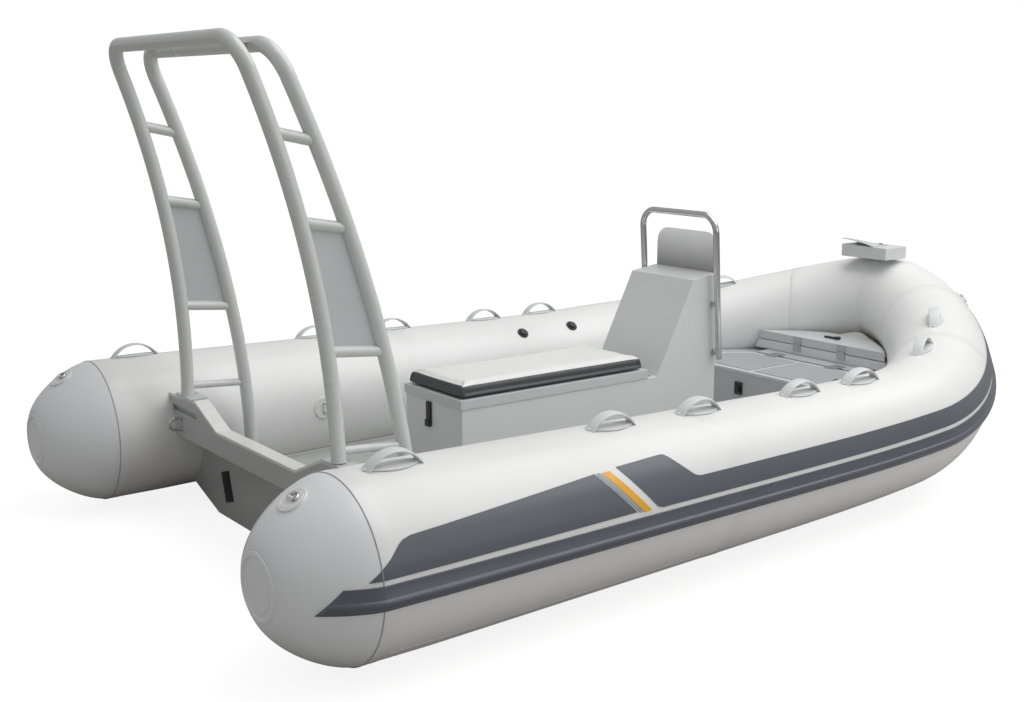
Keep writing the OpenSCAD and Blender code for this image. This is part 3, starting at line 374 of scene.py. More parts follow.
def new_group(name, inputs, outputs):
    """An empty shader node group with float or colour sockets: name to default."""
    group = bpy.data.node_groups.new(name, "ShaderNodeTree")
    for label, value in inputs.items():
        kind = "NodeSocketFloat" if isinstance(value, (int, float)) else (
            "NodeSocketVector" if value is None else "NodeSocketColor")
        socket = group.interface.new_socket(label, in_out="INPUT", socket_type=kind)
        if value is not None:
            socket.default_value = value
    for label, kind in outputs.items():
        group.interface.new_socket(label, in_out="OUTPUT", socket_type=kind)
    return group, group.nodes.new("NodeGroupInput"), group.nodes.new("NodeGroupOutput")


def math_node(nodes, links, operation, first, second=None, clamp=False):
    node = nodes.new("ShaderNodeMath")
    node.operation = operation
    node.use_clamp = clamp
    for socket, value in zip(node.inputs, (first, second)):
        if value is None:
            continue
        if isinstance(value, (int, float)):
            socket.default_value = value
        else:
            links.new(value, socket)
    return node.outputs[0]


def noise_node(nodes, links, vector, scale, detail=2.0, roughness=0.5):
    node = nodes.new("ShaderNodeTexNoise")
    node.inputs["Detail"].default_value = detail
    node.inputs["Roughness"].default_value = roughness
    if isinstance(scale, (int, float)):
        node.inputs["Scale"].default_value = scale
    else:
        links.new(scale, node.inputs["Scale"])
    links.new(vector, node.inputs["Vector"])
    return node.outputs["Fac"]


def build_cloud_group():
    """Soft light and dark clouds over a colour, as on a coated or painted face."""
    group, inward, outward = new_group(
        "Clouded colour", {"Vector": None, "Colour": (0.8, 0.8, 0.8, 1), "Scale": 3.0, "Amount": 0.06},
        {"Colour": "NodeSocketColor", "Mask": "NodeSocketFloat"})
    nodes, links = group.nodes, group.links
    mask = noise_node(nodes, links, inward.outputs["Vector"], inward.outputs["Scale"], 4.0, 0.6)
    centred = math_node(nodes, links, "SUBTRACT", mask, 0.5)
    amount = math_node(nodes, links, "MULTIPLY", centred, inward.outputs["Amount"])
    value = math_node(nodes, links, "ADD", math_node(nodes, links, "MULTIPLY", amount, 2.0), 1.0)
    tint = nodes.new("ShaderNodeHueSaturation")
    links.new(value, tint.inputs["Value"])
    links.new(inward.outputs["Colour"], tint.inputs["Color"])
    links.new(tint.outputs["Color"], outward.inputs["Colour"])
    links.new(mask, outward.inputs["Mask"])
    return group


def build_weave_group():
    """The fine plain weave of base cloth that shows through a coating: two sets of
    crossed ribs as the product of two waves."""
    group, inward, outward = new_group(
        "Cloth relief", {"Vector": None, "Threads": 700.0}, {"Height": "NodeSocketFloat"})
    nodes, links = group.nodes, group.links
    split = nodes.new("ShaderNodeSeparateXYZ")
    links.new(inward.outputs["Vector"], split.inputs[0])
    waves = []
    for axis in (split.outputs[0], split.outputs[1], split.outputs[2]):
        turn = math_node(nodes, links, "MULTIPLY", axis, inward.outputs["Threads"])
        waves.append(math_node(nodes, links, "SINE", turn))
    height = math_node(nodes, links, "ADD", math_node(nodes, links, "MULTIPLY", waves[0], waves[2]), waves[1])
    links.new(height, outward.inputs["Height"])
    return group


def build_grain_group():
    """Moulded or sprayed grain: a fine height and a coarser variation for the gloss."""
    group, inward, outward = new_group(
        "Surface grain", {"Vector": None, "Scale": 400.0, "Gloss": 0.3, "Spread": 0.1},
        {"Height": "NodeSocketFloat", "Roughness": "NodeSocketFloat"})
    nodes, links = group.nodes, group.links
    fine = noise_node(nodes, links, inward.outputs["Vector"], inward.outputs["Scale"], 2.0)
    coarse_scale = math_node(nodes, links, "MULTIPLY", inward.outputs["Scale"], 0.03)
    coarse = noise_node(nodes, links, inward.outputs["Vector"], coarse_scale, 3.0)
    spread = math_node(nodes, links, "MULTIPLY", math_node(nodes, links, "SUBTRACT", coarse, 0.5),
                       inward.outputs["Spread"])
    links.new(math_node(nodes, links, "ADD", inward.outputs["Gloss"], spread, True),
              outward.inputs["Roughness"])
    links.new(fine, outward.inputs["Height"])
    return group


def build_shade_and_splash_group():
    """Painted shade low down, mixed with dried splash marks: a warm grey that fades out above a height,
    broken into streaks. A mask from the place's height.
    """
    group, inward, outward = new_group(
        "Painted low shade and splash marks", {"Vector": None, "Colour": (0.8, 0.8, 0.8, 1), "Stain": (0.4, 0.38, 0.34, 1),
                         "Top": 0.2, "Amount": 0.2}, {"Colour": "NodeSocketColor"})
    nodes, links = group.nodes, group.links
    split = nodes.new("ShaderNodeSeparateXYZ")
    links.new(inward.outputs["Vector"], split.inputs[0])
    # The warm grey grows below the top height: painted shade of low, downward-facing skin, streaked like
    # splash marks.
    depth = math_node(nodes, links, "SUBTRACT", inward.outputs["Top"], split.outputs[2])
    fade = math_node(nodes, links, "MULTIPLY", depth, 5.0, True)
    streak = noise_node(nodes, links, inward.outputs["Vector"], 9.0, 5.0, 0.65)
    mask = math_node(nodes, links, "MULTIPLY", fade, math_node(nodes, links, "ADD", streak, 0.3))
    mask = math_node(nodes, links, "MULTIPLY", mask, inward.outputs["Amount"], True)
    mix = nodes.new("ShaderNodeMix")
    mix.data_type = "RGBA"
    links.new(mask, mix.inputs["Factor"])
    links.new(inward.outputs["Colour"], mix.inputs["A"])
    links.new(inward.outputs["Stain"], mix.inputs["B"])
    links.new(mix.outputs["Result"], outward.inputs["Colour"])
    return group


# ---- Materials --------------------------------------------------------------

class Finish:
    """A material under construction: its shader, Object coordinates and shared groups."""
    groups = {}

    def __init__(self, name, metallic=0.0, coat=0.0, coat_roughness=0.1):
        self.material = bpy.data.materials.new(name)
        self.material.use_nodes = True
        self.nodes = self.material.node_tree.nodes
        self.links = self.material.node_tree.links
        self.shader = self.nodes["Principled BSDF"]
        self.shader.inputs["Metallic"].default_value = metallic
        self.shader.inputs["Coat Weight"].default_value = coat
        self.shader.inputs["Coat Roughness"].default_value = coat_roughness
        self.place = self.nodes.new("ShaderNodeTexCoord").outputs["Object"]

    def group(self, builder, **values):
        """Adds a shared effect and sets or links its inputs, given by their names."""
        name = builder.__name__
        if name not in Finish.groups:
            Finish.groups[name] = builder()
        node = self.nodes.new("ShaderNodeGroup")
        node.node_tree = Finish.groups[name]
        self.links.new(self.place, node.inputs["Vector"])
        for label, value in values.items():
            if isinstance(value, bpy.types.NodeSocket):
                self.links.new(value, node.inputs[label])
            else:
                node.inputs[label].default_value = value
        return node.outputs

    def relief(self, height, strength, distance, under=None):
        """A bump from a height, over another bump if one is given."""
        bump = self.nodes.new("ShaderNodeBump")
        bump.inputs["Strength"].default_value = strength
        bump.inputs["Distance"].default_value = distance
        self.links.new(height, bump.inputs["Height"])
        if under is not None:
            self.links.new(under, bump.inputs["Normal"])
        self.links.new(bump.outputs["Normal"], self.shader.inputs["Normal"])
        return bump.outputs["Normal"]

    def colour(self, socket):
        self.links.new(socket, self.shader.inputs["Base Color"])

    def gloss(self, socket):
        self.links.new(socket, self.shader.inputs["Roughness"])


def opaque(colour):
    return (*colour[:3], 1.0)


def coated_fabric(name, colour, roughness=0.38, amount=0.05, shade_and_splash=0.35, coat=0.10):
    """Fabric with a smooth plastic coating: faint weave, soft clouds, and low down painted shade mixed with
    dried splashes.
    """
    f = Finish(name, coat=coat, coat_roughness=0.25)
    clouded = f.group(build_cloud_group, Colour=opaque(colour), Scale=2.6, Amount=amount)
    # Warm grey low down: painted shade of the underside, streaked like splash marks.
    low_shaded = f.group(build_shade_and_splash_group, Colour=clouded["Colour"], Stain=(0.42, 0.40, 0.36, 1),
                       Top=0.17, Amount=shade_and_splash)
    f.colour(low_shaded["Colour"])
    grain = f.group(build_grain_group, Scale=260.0, Gloss=roughness, Spread=0.14)
    f.gloss(grain["Roughness"])
    weave = f.group(build_weave_group, Threads=2600.0)
    f.relief(grain["Height"], 0.10, 0.0008, f.relief(weave["Height"], 0.05, 0.0002))
    return f.material


def painted_metal(name, colour, roughness=0.34, peel=0.10, amount=0.04, coat=0.25):
    """Sprayed paint on sheet metal: a slight orange peel under a thin clear coat."""
    f = Finish(name, coat=coat, coat_roughness=0.12)
    f.colour(f.group(build_cloud_group, Colour=opaque(colour), Scale=4.0, Amount=amount)["Colour"])
    grain = f.group(build_grain_group, Scale=320.0, Gloss=roughness, Spread=0.12)
    f.gloss(grain["Roughness"])
    f.relief(grain["Height"], peel, 0.0005)
    return f.material


def gelcoat(name, colour, roughness=0.24, shade_and_splash=0.2):
    """Glossy moulded resin with faint clouds, and near the water painted shade mixed with splash marks."""
    f = Finish(name, coat=0.4, coat_roughness=0.08)
    clouded = f.group(build_cloud_group, Colour=opaque(colour), Scale=3.0, Amount=0.05)
    # Warm grey near the water: painted shade of the low hull, streaked like splash marks.
    low_shaded = f.group(build_shade_and_splash_group, Colour=clouded["Colour"], Stain=(0.36, 0.35, 0.30, 1),
                       Top=0.12, Amount=shade_and_splash)
    f.colour(low_shaded["Colour"])
    grain = f.group(build_grain_group, Scale=160.0, Gloss=roughness, Spread=0.1)
    f.gloss(grain["Roughness"])
    f.relief(grain["Height"], 0.06, 0.0006)
    return f.material


def tread(name, colour, pitch=0.009, height=0.0008, roughness=0.6):
    """Anti-slip surface: a close field of small raised pips, from a cell pattern."""
    f = Finish(name)
    cells = f.nodes.new("ShaderNodeTexVoronoi")
    cells.inputs["Scale"].default_value = 1 / pitch
    cells.inputs["Randomness"].default_value = 0.25
    f.links.new(f.place, cells.inputs["Vector"])
    pip = math_node(f.nodes, f.links, "SUBTRACT", 0.45, cells.outputs["Distance"], True)
    pip = math_node(f.nodes, f.links, "MULTIPLY", pip, 4.0, True)
    grain = f.group(build_grain_group, Scale=380.0, Gloss=roughness, Spread=0.15)
    f.relief(pip, 0.7, height, f.relief(grain["Height"], 0.2, 0.0004))
    clouded = f.group(build_cloud_group, Colour=opaque(colour), Scale=6.0, Amount=0.10)
    worn = f.nodes.new("ShaderNodeMix")
    worn.data_type = "RGBA"
    worn.blend_type = "MULTIPLY"
    f.links.new(math_node(f.nodes, f.links, "MULTIPLY",
                          math_node(f.nodes, f.links, "SUBTRACT", 1.0, pip), 0.22), worn.inputs["Factor"])
    f.links.new(clouded["Colour"], worn.inputs["A"])
    worn.inputs["B"].default_value = (0.45, 0.45, 0.45, 1)
    f.colour(worn.outputs["Result"])
    f.gloss(grain["Roughness"])
    return f.material


def moulded(name, colour, roughness=0.42, grain_depth=0.18, amount=0.05):
    """Moulded rubber or plastic with a fine matt grain."""
    f = Finish(name)
    f.colour(f.group(build_cloud_group, Colour=opaque(colour), Scale=8.0, Amount=amount)["Colour"])
    grain = f.group(build_grain_group, Scale=700.0, Gloss=roughness, Spread=0.16)
    f.gloss(grain["Roughness"])
    f.relief(grain["Height"], grain_depth, 0.0004)
    return f.material


def polished_steel(name, colour=(0.62, 0.62, 0.63), roughness=0.14, brushing=0.0):
    """Stainless steel with faint polishing marks, drawn out along the boat."""
    f = Finish(name, metallic=1.0)
    stretch = f.nodes.new("ShaderNodeMapping")
    stretch.inputs["Scale"].default_value = (20, 20, 900)
    f.links.new(f.place, stretch.inputs["Vector"])
    marks = noise_node(f.nodes, f.links, stretch.outputs["Vector"], 1.0, 3.0)
    f.colour(f.group(build_cloud_group, Colour=opaque(colour), Scale=12.0, Amount=0.08)["Colour"])
    spread = math_node(f.nodes, f.links, "MULTIPLY", marks, 0.10 + brushing)
    f.gloss(math_node(f.nodes, f.links, "ADD", spread, roughness - 0.04, True))
    f.relief(marks, 0.04 + brushing, 0.0002)
    return f.material


def smoked_acrylic(name):
    """Smoked clear sheet, darker and denser towards its foot."""
    f = Finish(name)
    split = f.nodes.new("ShaderNodeSeparateXYZ")
    f.links.new(f.place, split.inputs[0])
    low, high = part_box("windscreen")
    share = math_node(f.nodes, f.links, "SUBTRACT", split.outputs[2], low.z)
    share = math_node(f.nodes, f.links, "DIVIDE", share, high.z - low.z, True)
    ramp = f.nodes.new("ShaderNodeValToRGB")
    ramp.color_ramp.elements[0].position = 0.25
    ramp.color_ramp.elements[0].color = (0.20, 0.20, 0.21, 1)
    ramp.color_ramp.elements[1].position = 1.0
    ramp.color_ramp.elements[1].color = (0.72, 0.72, 0.73, 1)
    f.links.new(share, ramp.inputs["Fac"])
    f.colour(ramp.outputs["Color"])
    haze = noise_node(f.nodes, f.links, f.place, 30.0, 3.0)
    f.gloss(math_node(f.nodes, f.links, "MULTIPLY", haze, 0.12))
    cover = math_node(f.nodes, f.links, "MULTIPLY", share, -0.40)
    f.links.new(math_node(f.nodes, f.links, "ADD", cover, 0.88), f.shader.inputs["Alpha"])
    return f.material


def cushion_cover(name, top, side, edge_height):
    """White vinyl over dark side cloth: the seam lies at a height in the boat's frame."""
    f = Finish(name)
    split = f.nodes.new("ShaderNodeSeparateXYZ")
    f.links.new(f.place, split.inputs[0])
    above = math_node(f.nodes, f.links, "GREATER_THAN", split.outputs[2], edge_height)
    clouded = f.group(build_cloud_group, Colour=opaque(top), Scale=7.0, Amount=0.05)
    dark = f.group(build_cloud_group, Colour=opaque(side), Scale=30.0, Amount=0.25)
    mix = f.nodes.new("ShaderNodeMix")
    mix.data_type = "RGBA"
    f.links.new(above, mix.inputs["Factor"])
    f.links.new(dark["Colour"], mix.inputs["A"])
    f.links.new(clouded["Colour"], mix.inputs["B"])
    f.colour(mix.outputs["Result"])
    leather = f.nodes.new("ShaderNodeTexVoronoi")
    leather.inputs["Scale"].default_value = 520.0
    f.links.new(f.place, leather.inputs["Vector"])
    weave = f.group(build_weave_group, Threads=1800.0)
    f.relief(leather.outputs["Distance"], 0.12, 0.0006, f.relief(weave["Height"], 0.06, 0.0002))
    grain = f.group(build_grain_group, Scale=200.0, Gloss=0.46, Spread=0.15)
    f.gloss(grain["Roughness"])
    return f.material


# Depth of the cushion's dark side cloth under its top
CUSHION_SEAM_DEPTH = 0.007

MATERIALS = {}


def make_materials(colours):
    """Every finish of the boat, once."""
    m = MATERIALS
    m["tube"] = coated_fabric("Tube fabric", colours.tube)
    m["tape"] = coated_fabric("Seam tape", [c * 0.97 for c in colours.tube], 0.30, 0.02, 0.3, 0.2)
    m["seam"] = coated_fabric("Seam line", (0.34, 0.35, 0.37), 0.4, 0.04, 0.1)
    # The cones' fabric is the tubes'; its darker, bluer colour is painted shade.
    m["cone"] = coated_fabric("Cone fabric", colours.cone, 0.34, 0.04, 0.3)
    m["slate"] = coated_fabric("Slate vinyl", colours.slate, 0.36, 0.10, 0.0, 0.15)
    m["pale bar"] = coated_fabric("Pale bar", (0.33, 0.34, 0.35), 0.36, 0.04, 0.0)
    m["accent"] = coated_fabric("Accent bar", colours.accent, 0.34, 0.04, 0.0)
    m["strake"] = moulded("Strake rubber", colours.strake, 0.30, 0.08, 0.12)
    m["gelcoat"] = gelcoat("Hull gelcoat", colours.gelcoat)
    m["grey gelcoat"] = gelcoat("Transom gelcoat", (0.42, 0.43, 0.43), 0.3, 0.1)
    m["deck"] = tread("Deck tread", colours.deck, 0.014, 0.0006, 0.5)
    m["sheet"] = painted_metal("Painted sheet", colours.sheet)
    m["platform"] = painted_metal("Platform paint", (0.47, 0.475, 0.50))
    m["lid"] = painted_metal("Lid paint", colours.lid)
    m["arch"] = painted_metal("Arch paint", colours.arch, 0.26, 0.06, 0.03, 0.35)
    m["panel"] = painted_metal("Arch panel paint", colours.panel, 0.34)
    m["pad"] = tread("Hatch tread", (0.40, 0.42, 0.42), 0.008, 0.0008, 0.62)
    m["black"] = moulded("Black plastic", (0.016, 0.016, 0.018), 0.40)
    m["handle"] = moulded("Handle plastic", (0.70, 0.71, 0.71), 0.36, 0.10, 0.04)
    m["steel"] = polished_steel("Polished steel")
    m["dull steel"] = polished_steel("Brushed steel", (0.50, 0.51, 0.51), 0.30, 0.12)
    m["screen"] = smoked_acrylic("Smoked screen")
    cushion_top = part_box("seat_cushion")[1].z
    m["cushion"] = cushion_cover("Cushion cover", colours.vinyl, colours.charcoal,
                                 cushion_top - CUSHION_SEAM_DEPTH)


CAD_FINISHES = {
    "gelcoat": ["hull_bottom", "hull_ledges", "spray_rails", "transom_cap"],
    "grey gelcoat": ["transom", "transom_knees"],
    "deck": ["deck_floor"],
    "dull steel": ["keel_band", "seat_hinge", "hatch_hinges", "hatch_leaves", "locker_hinges",
                   "locker_leaves"],
    "steel": ["towing_eyes", "console_rail"],
    "black": ["scupper_flaps", "seat_latch", "hatch_latch", "locker_handle"],
    "arch": ["arch_rungs"],
    "panel": ["arch_feet", "arch_top_plates"],
    "sheet": ["console_seat", "bow_locker"],
    "platform": ["fore_platform"],
    "lid": ["seat_lid", "fore_hatch", "bow_locker_lid"],
    "pad": ["nonskid_panels"],
    "screen": ["windscreen"],
}
SOFT_EDGED = ["transom", "transom_cap", "console_seat", "seat_lid", "fore_platform", "fore_hatch",
              "bow_locker", "bow_locker_lid", "arch_feet", "arch_top_plates"]


def finish_cad_nodes():
    """Paints each CAD solid that stays, and softens the edges of the sheet-metal ones."""
    for finish, nodes in CAD_FINISHES.items():
        for name in nodes:
            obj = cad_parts[name]
            obj.data.materials.clear()
            obj.data.materials.append(MATERIALS[finish])
    for name in SOFT_EDGED:
        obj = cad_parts[name]
        weld = obj.modifiers.new("Weld", "WELD")
        weld.merge_threshold = 1e-5
        edge = obj.modifiers.new("Edge", "BEVEL")
        edge.width = 0.0018
        edge.segments = 2
        edge.limit_method = "ANGLE"
        edge.angle_limit = math.radians(40)
        edge.harden_normals = False


# ---- Tubes ------------------------------------------------------------------

RING_STEP = 0.045


def ring_places(start, end, step=RING_STEP):
    return np.linspace(start, end, max(2, int(round((end - start) / step)) + 1))


def make_tubes(size, run):
    """Side tubes and bow tube: circles round the run's axis, closed by flat ends."""
    turn = np.linspace(0, 2 * np.pi, size.tube_sides, endpoint=False)
    start, seam = run.at_x(size.cone_start), run.at_x(size.seam_x)
    for label, side in SIDES:
        points = for_side(run.skin(ring_places(start, seam)[:, None], turn[None]), side)
        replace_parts(solid_grid(f"Tube {label}", points, MATERIALS["tube"]),
                    f"tube_{label}")
    bow = run.skin(ring_places(seam, 2 * run.total - seam)[:, None], turn[None])
    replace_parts(solid_grid("Bow tube", bow, MATERIALS["tube"]), "bow_tube")


def tape_ring(run, name, along, width, lift, side, material):
    """A tape round the tube: a strip of the skin, lifted, with thin edges."""
    turn = np.linspace(-0.5 * np.pi, 1.5 * np.pi, 73)
    across = np.linspace(-0.5, 0.5, 5)
    height = lift * np.sqrt(np.clip(1 - (2 * across) ** 8, 0, 1))
    points = run.skin(along + across[:, None] * width, turn[None],
                      height[:, None] + 0.0002)
    return skin_sheet(name, for_side(points, side), run, side, material)


def sheet_faces(rows, columns):
    """Faces of a closed sheet: a grid, the same grid turned over, and the border between them."""
    faces = grid_faces(rows, columns)
    count = rows * columns
    rim = np.concatenate([np.arange(columns - 1), np.arange(1, rows) * columns - 1,
                          np.arange(count - 1, count - columns, -1),
                          np.arange(rows - 1, 0, -1) * columns])
    following = np.roll(rim, -1)
    border = np.stack([rim, following, following + count, rim + count], -1)
    return np.concatenate([faces, faces[:, ::-1] + count, border])


def skin_sheet(name, points, run, side, material, thickness=0.0012):
    """A closed thin sheet over the tube: its outer points, and the same points sunk into the tube.
    The faces turn away from the nearest place of the run's axis."""
    rows, columns = points.shape[:2]
    axis = np.stack([run.x, run.y * side, run.z], -1)
    flat = points.reshape(-1, 3)
    nearest = axis[np.abs(flat[:, None, 0] - axis[None, ::8, 0]).argmin(1) * 8]
    inward = nearest - flat
    inward /= np.linalg.norm(inward, axis=1, keepdims=True)
    both = np.stack([points, (flat + inward * thickness).reshape(points.shape)])
    obj = new_object(name, both, sheet_faces(rows, columns).tolist())
    turn_outwards(obj)
    return finish_piece(obj, material, HULL_BODY, 50)


def make_seam_tapes(size, run):
    """Tapes over the seams between a side tube, its cone and the bow tube's panels."""
    start, seam = run.at_x(size.cone_start), run.at_x(size.seam_x)
    places = [(start + 0.02, 0.050, "root"), (seam, 0.060, "seam"),
              (run.at_angle(size, 33), 0.050, "bow aft"), (run.at_angle(size, 60), 0.050, "bow fore")]
    for label, side in SIDES:
        for along, width, place in places:
            tape = tape_ring(run, f"Tape {place} {label}", along, width, 0.0007, side, MATERIALS["tape"])
        turn = math.radians(-48)
        places_along = np.linspace(start + 0.05, seam - 0.03, 30)
        across = np.linspace(-0.012, 0.012, 3) / size.stern_radius
        line = for_side(run.skin(places_along[None], turn + across[:, None], 0.001), side)
        skin_sheet(f"Tape low {label}", line, run, side, MATERIALS["tape"])


# Exponent of the cones' outline, where 1 is an ellipse
CONE_POWER = 1.364


def make_cones(size, run):
    """Stern cones: a solid of revolution round the tube's axis, with a double-lipped cap and a
    raised bead at the root."""
    angle = np.linspace(0, np.pi / 2, 34)
    cap_x = size.cone_start - size.cone_length
    x = size.cone_start - size.cone_length * np.sin(angle) ** CONE_POWER
    radius = size.cone_cap_radius + (size.stern_radius - size.cone_cap_radius) * np.cos(angle) ** CONE_POWER
    cap = size.cone_cap_radius
    lips = [(cap - 0.001, cap_x - 0.003), (cap - 0.005, cap_x - 0.005), (cap - 0.012, cap_x - 0.005),
            (cap - 0.016, cap_x - 0.001), (cap - 0.026, cap_x - 0.001), (cap - 0.029, cap_x - 0.004),
            (0.0006, cap_x - 0.0045)]
    profile = [(0.0006, size.cone_start)] + list(zip(radius, x)) + lips
    bead = circle_profile(0.0016, 10)
    for label, side in SIDES:
        centre = (0, side * size.tube_spacing / 2, size.axis_height)
        cone = turned(f"Cone {label}", profile, centre, (1, 0, 0), MATERIALS["cone"], 96)
        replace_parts(cone, f"stern_cone_{label}")
        turn = np.linspace(0, 2 * np.pi, 96, endpoint=False)
        root = for_side(run.skin(run.at_x(size.cone_start - 0.006), turn, 0.0005), side)
        ring = solid_grid(f"Root seam {label}", sweep(root, bead, (1, 0, 0), True), MATERIALS["seam"],
                          close_rows=True)


STRAKE_HALF = 0.0335
STRAKE_END_X = -0.335


def strake_section():
    """Closed outline of the strake's section as (height, depth): a flat band over a round bulge."""
    bulge = np.radians(np.linspace(-78, 78, 17))
    outer = np.concatenate([
        [[-STRAKE_HALF, 0.0005], [-STRAKE_HALF + 0.001, 0.004], [-STRAKE_HALF + 0.003, 0.005]],
        np.stack([-0.013 + 0.013 * np.sin(bulge), 0.005 + 0.011 * np.cos(bulge)], -1),
        [[0.002, 0.0052], [STRAKE_HALF - 0.003, 0.005], [STRAKE_HALF - 0.0008, 0.0042],
         [STRAKE_HALF, 0.0005]]])
    inner = np.stack([np.linspace(STRAKE_HALF, -STRAKE_HALF, 7)[1:-1], np.full(5, -0.0008)], -1)
    return np.concatenate([outer, inner])


def make_strakes(size, run):
    """Rubber strake: one section carried along the run at the widest height, with an aft end
    that leans back along the cone."""
    section = strake_section()
    seam = run.at_x(size.seam_x)
    for label, side in SIDES:
        x = np.concatenate([np.linspace(STRAKE_END_X, size.cone_start, 20), ring_x(size)])
        lean = np.clip((size.cone_start - x) / (size.cone_start - STRAKE_END_X), 0, 1)
        along = run.at_x(x[:, None] + 0.9 * section[None, :, 0] * lean[:, None])
        points = for_side(run.ledge(along, section[None, :, 0], section[None, :, 1]), side)
        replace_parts(solid_grid(f"Strake {label}", points, MATERIALS["strake"]),
                    f"rub_strake_{label}")
    along = ring_places(seam, 2 * run.total - seam)[:, None]
    points = run.ledge(along, section[None, :, 0], section[None, :, 1])
    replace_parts(solid_grid("Strake bow", points, MATERIALS["strake"]),
                "rub_strake_bow")


def ring_x(size):
    return np.linspace(size.cone_start, size.seam_x, 31)[1:]


# Breakpoints of each decal: (x, height over the axis) of its lower and upper edge, aft to fore
DECALS = {
    "Panel aft": ("slate",
                  [(-0.247, 0.0460), (0.646, 0.0525)],
                  [(-0.247, 0.0465), (-0.180, 0.095), (-0.150, 0.122), (-0.135, 0.131), (-0.110, 0.137),
                   (0.533, 0.172), (0.646, 0.0530)]),
    "Bar pale": ("pale bar", [(0.540, 0.171), (0.655, 0.0500), (0.668, 0.0500)],
                 [(0.540, 0.1715), (0.553, 0.1715), (0.668, 0.0505)]),
    "Bar accent": ("accent", [(0.560, 0.1700), (0.674, 0.0480), (0.703, 0.0480)],
                   [(0.560, 0.1705), (0.590, 0.1710), (0.703, 0.0485)]),
}
BAND_LOW = [(0.620, 0.1760), (0.722, 0.062), (0.732, 0.053), (0.748, 0.0475), (1.0, 0.0470)]
BAND_HIGH = [(0.620, 0.1765), (0.800, 0.1810), (0.815, 0.1790), (0.828, 0.1715), (0.893, 0.1200),
             (0.905, 0.1120), (0.925, 0.1075), (1.0, 0.1070)]


def decal_points(run, along, x, low, high, rows=9):
    """Grid between two edges given as height against x, on the skin."""
    low_z = np.interp(x, *zip(*low))
    high_z = np.interp(x, *zip(*high))
    share = np.linspace(0, 1, rows)[:, None]
    return run.ledge(along[None], low_z + (high_z - low_z) * share, 0.0018)


def make_decals(run):
    """Flat vinyl shapes on the tubes' outer side: strips of the skin between two edges."""
    for label, side in SIDES:
        for name, (finish, low, high) in DECALS.items():
            knots = [p[0] for p in low + high]
            x = np.unique(np.concatenate([knots, np.linspace(min(knots), max(knots), 60)]))
            points = for_side(decal_points(run, run.at_x(x), x, low, high), side)
            skin_sheet(f"{name} {label}", points, run, side, MATERIALS[finish], 0.0007)
        x = np.unique(np.concatenate([[p[0] for p in BAND_LOW + BAND_HIGH], np.linspace(0.62, 1.2, 60)]))
        straight = run.at_x(x)
        bow = ring_places(straight[-1], run.total)[1:]
        along = np.concatenate([straight, bow])
        places = np.concatenate([x, np.full(len(bow), 1.2)])
        points = for_side(decal_points(run, along, places, BAND_LOW, BAND_HIGH), side)
        skin_sheet(f"Band {label}", points, run, side, MATERIALS["slate"], 0.0007)


# ---- Fittings on the tubes --------------------------------------------------

HANDLE_X = [-0.035, 0.735, 1.105, 1.590, 1.910]
HANDLE_BOW_ANGLES = [22, 41]


def lens_pad(length, width, thickness):
    """Lens-shaped pad, local points: half-width = width/2 (1 - (2u/L)^2), edge rounded over."""
    u = np.sin(np.linspace(-np.pi / 2, np.pi / 2, 25)) * length / 2
    half = width / 2 * (1 - (2 * u / length) ** 2) + 0.0015
    section = rounded_profile(2, 2, 5, 24)
    local = np.zeros((len(u), len(section), 3))
    local[..., 0] = u[:, None]
    local[..., 1] = half[:, None] * section[None, :, 0]
    local[..., 2] = 0.0004 + thickness * (1 + section[None, :, 1]) / 2
    return local


def strap_arc(span, height, width, thickness):
    """Strap bent to a circle's arc over its pad, with thick rounded edges. Local points."""
    radius = ((span / 2) ** 2 + height ** 2) / (2 * height)
    reach = math.asin(span / 2 / radius)
    angle = np.linspace(-reach, reach, 31)
    section = rounded_profile(width, thickness, 3.2, 20)
    centre = height - radius
    spread = 1 + 0.28 * np.abs(angle / reach) ** 3
    local = np.zeros((len(angle), len(section), 3))
    level = radius - thickness / 2 + section[None, :, 1]
    local[..., 0] = level * np.sin(angle)[:, None]
    local[..., 1] = section[None, :, 0] * spread[:, None]
    local[..., 2] = np.maximum(centre + level * np.cos(angle)[:, None], 0.0)
    return local


def make_handles(size, run):
    """Seven grab handles a side: a lens pad and a strap arc, both bent round the tube."""
    pad, strap = lens_pad(0.186, 0.066, 0.006), strap_arc(0.176, 0.048, 0.034, 0.007)
    places = [(run.at_x(x), math.radians(85)) for x in HANDLE_X]
    places += [(run.at_angle(size, a), math.radians(98)) for a in HANDLE_BOW_ANGLES]
    for label, side in SIDES:
        parts = []
        for along, turn in places:
            for local in (pad, strap):
                points = for_side(run.fitted(along, turn, local), side)
                parts.append(solid_grid("part", points, MATERIALS["handle"]))
        whole = joined(f"Grab handles {label}", parts, MATERIALS["handle"])
        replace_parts(whole, f"grab_handles_{label}")


RING_RADIUS = 0.020
RING_BAR_RADIUS = 0.0038
# Height of the ring's axis over its pad's seat
RING_UP = 0.0072
KEEPER_THICKNESS = 0.0022


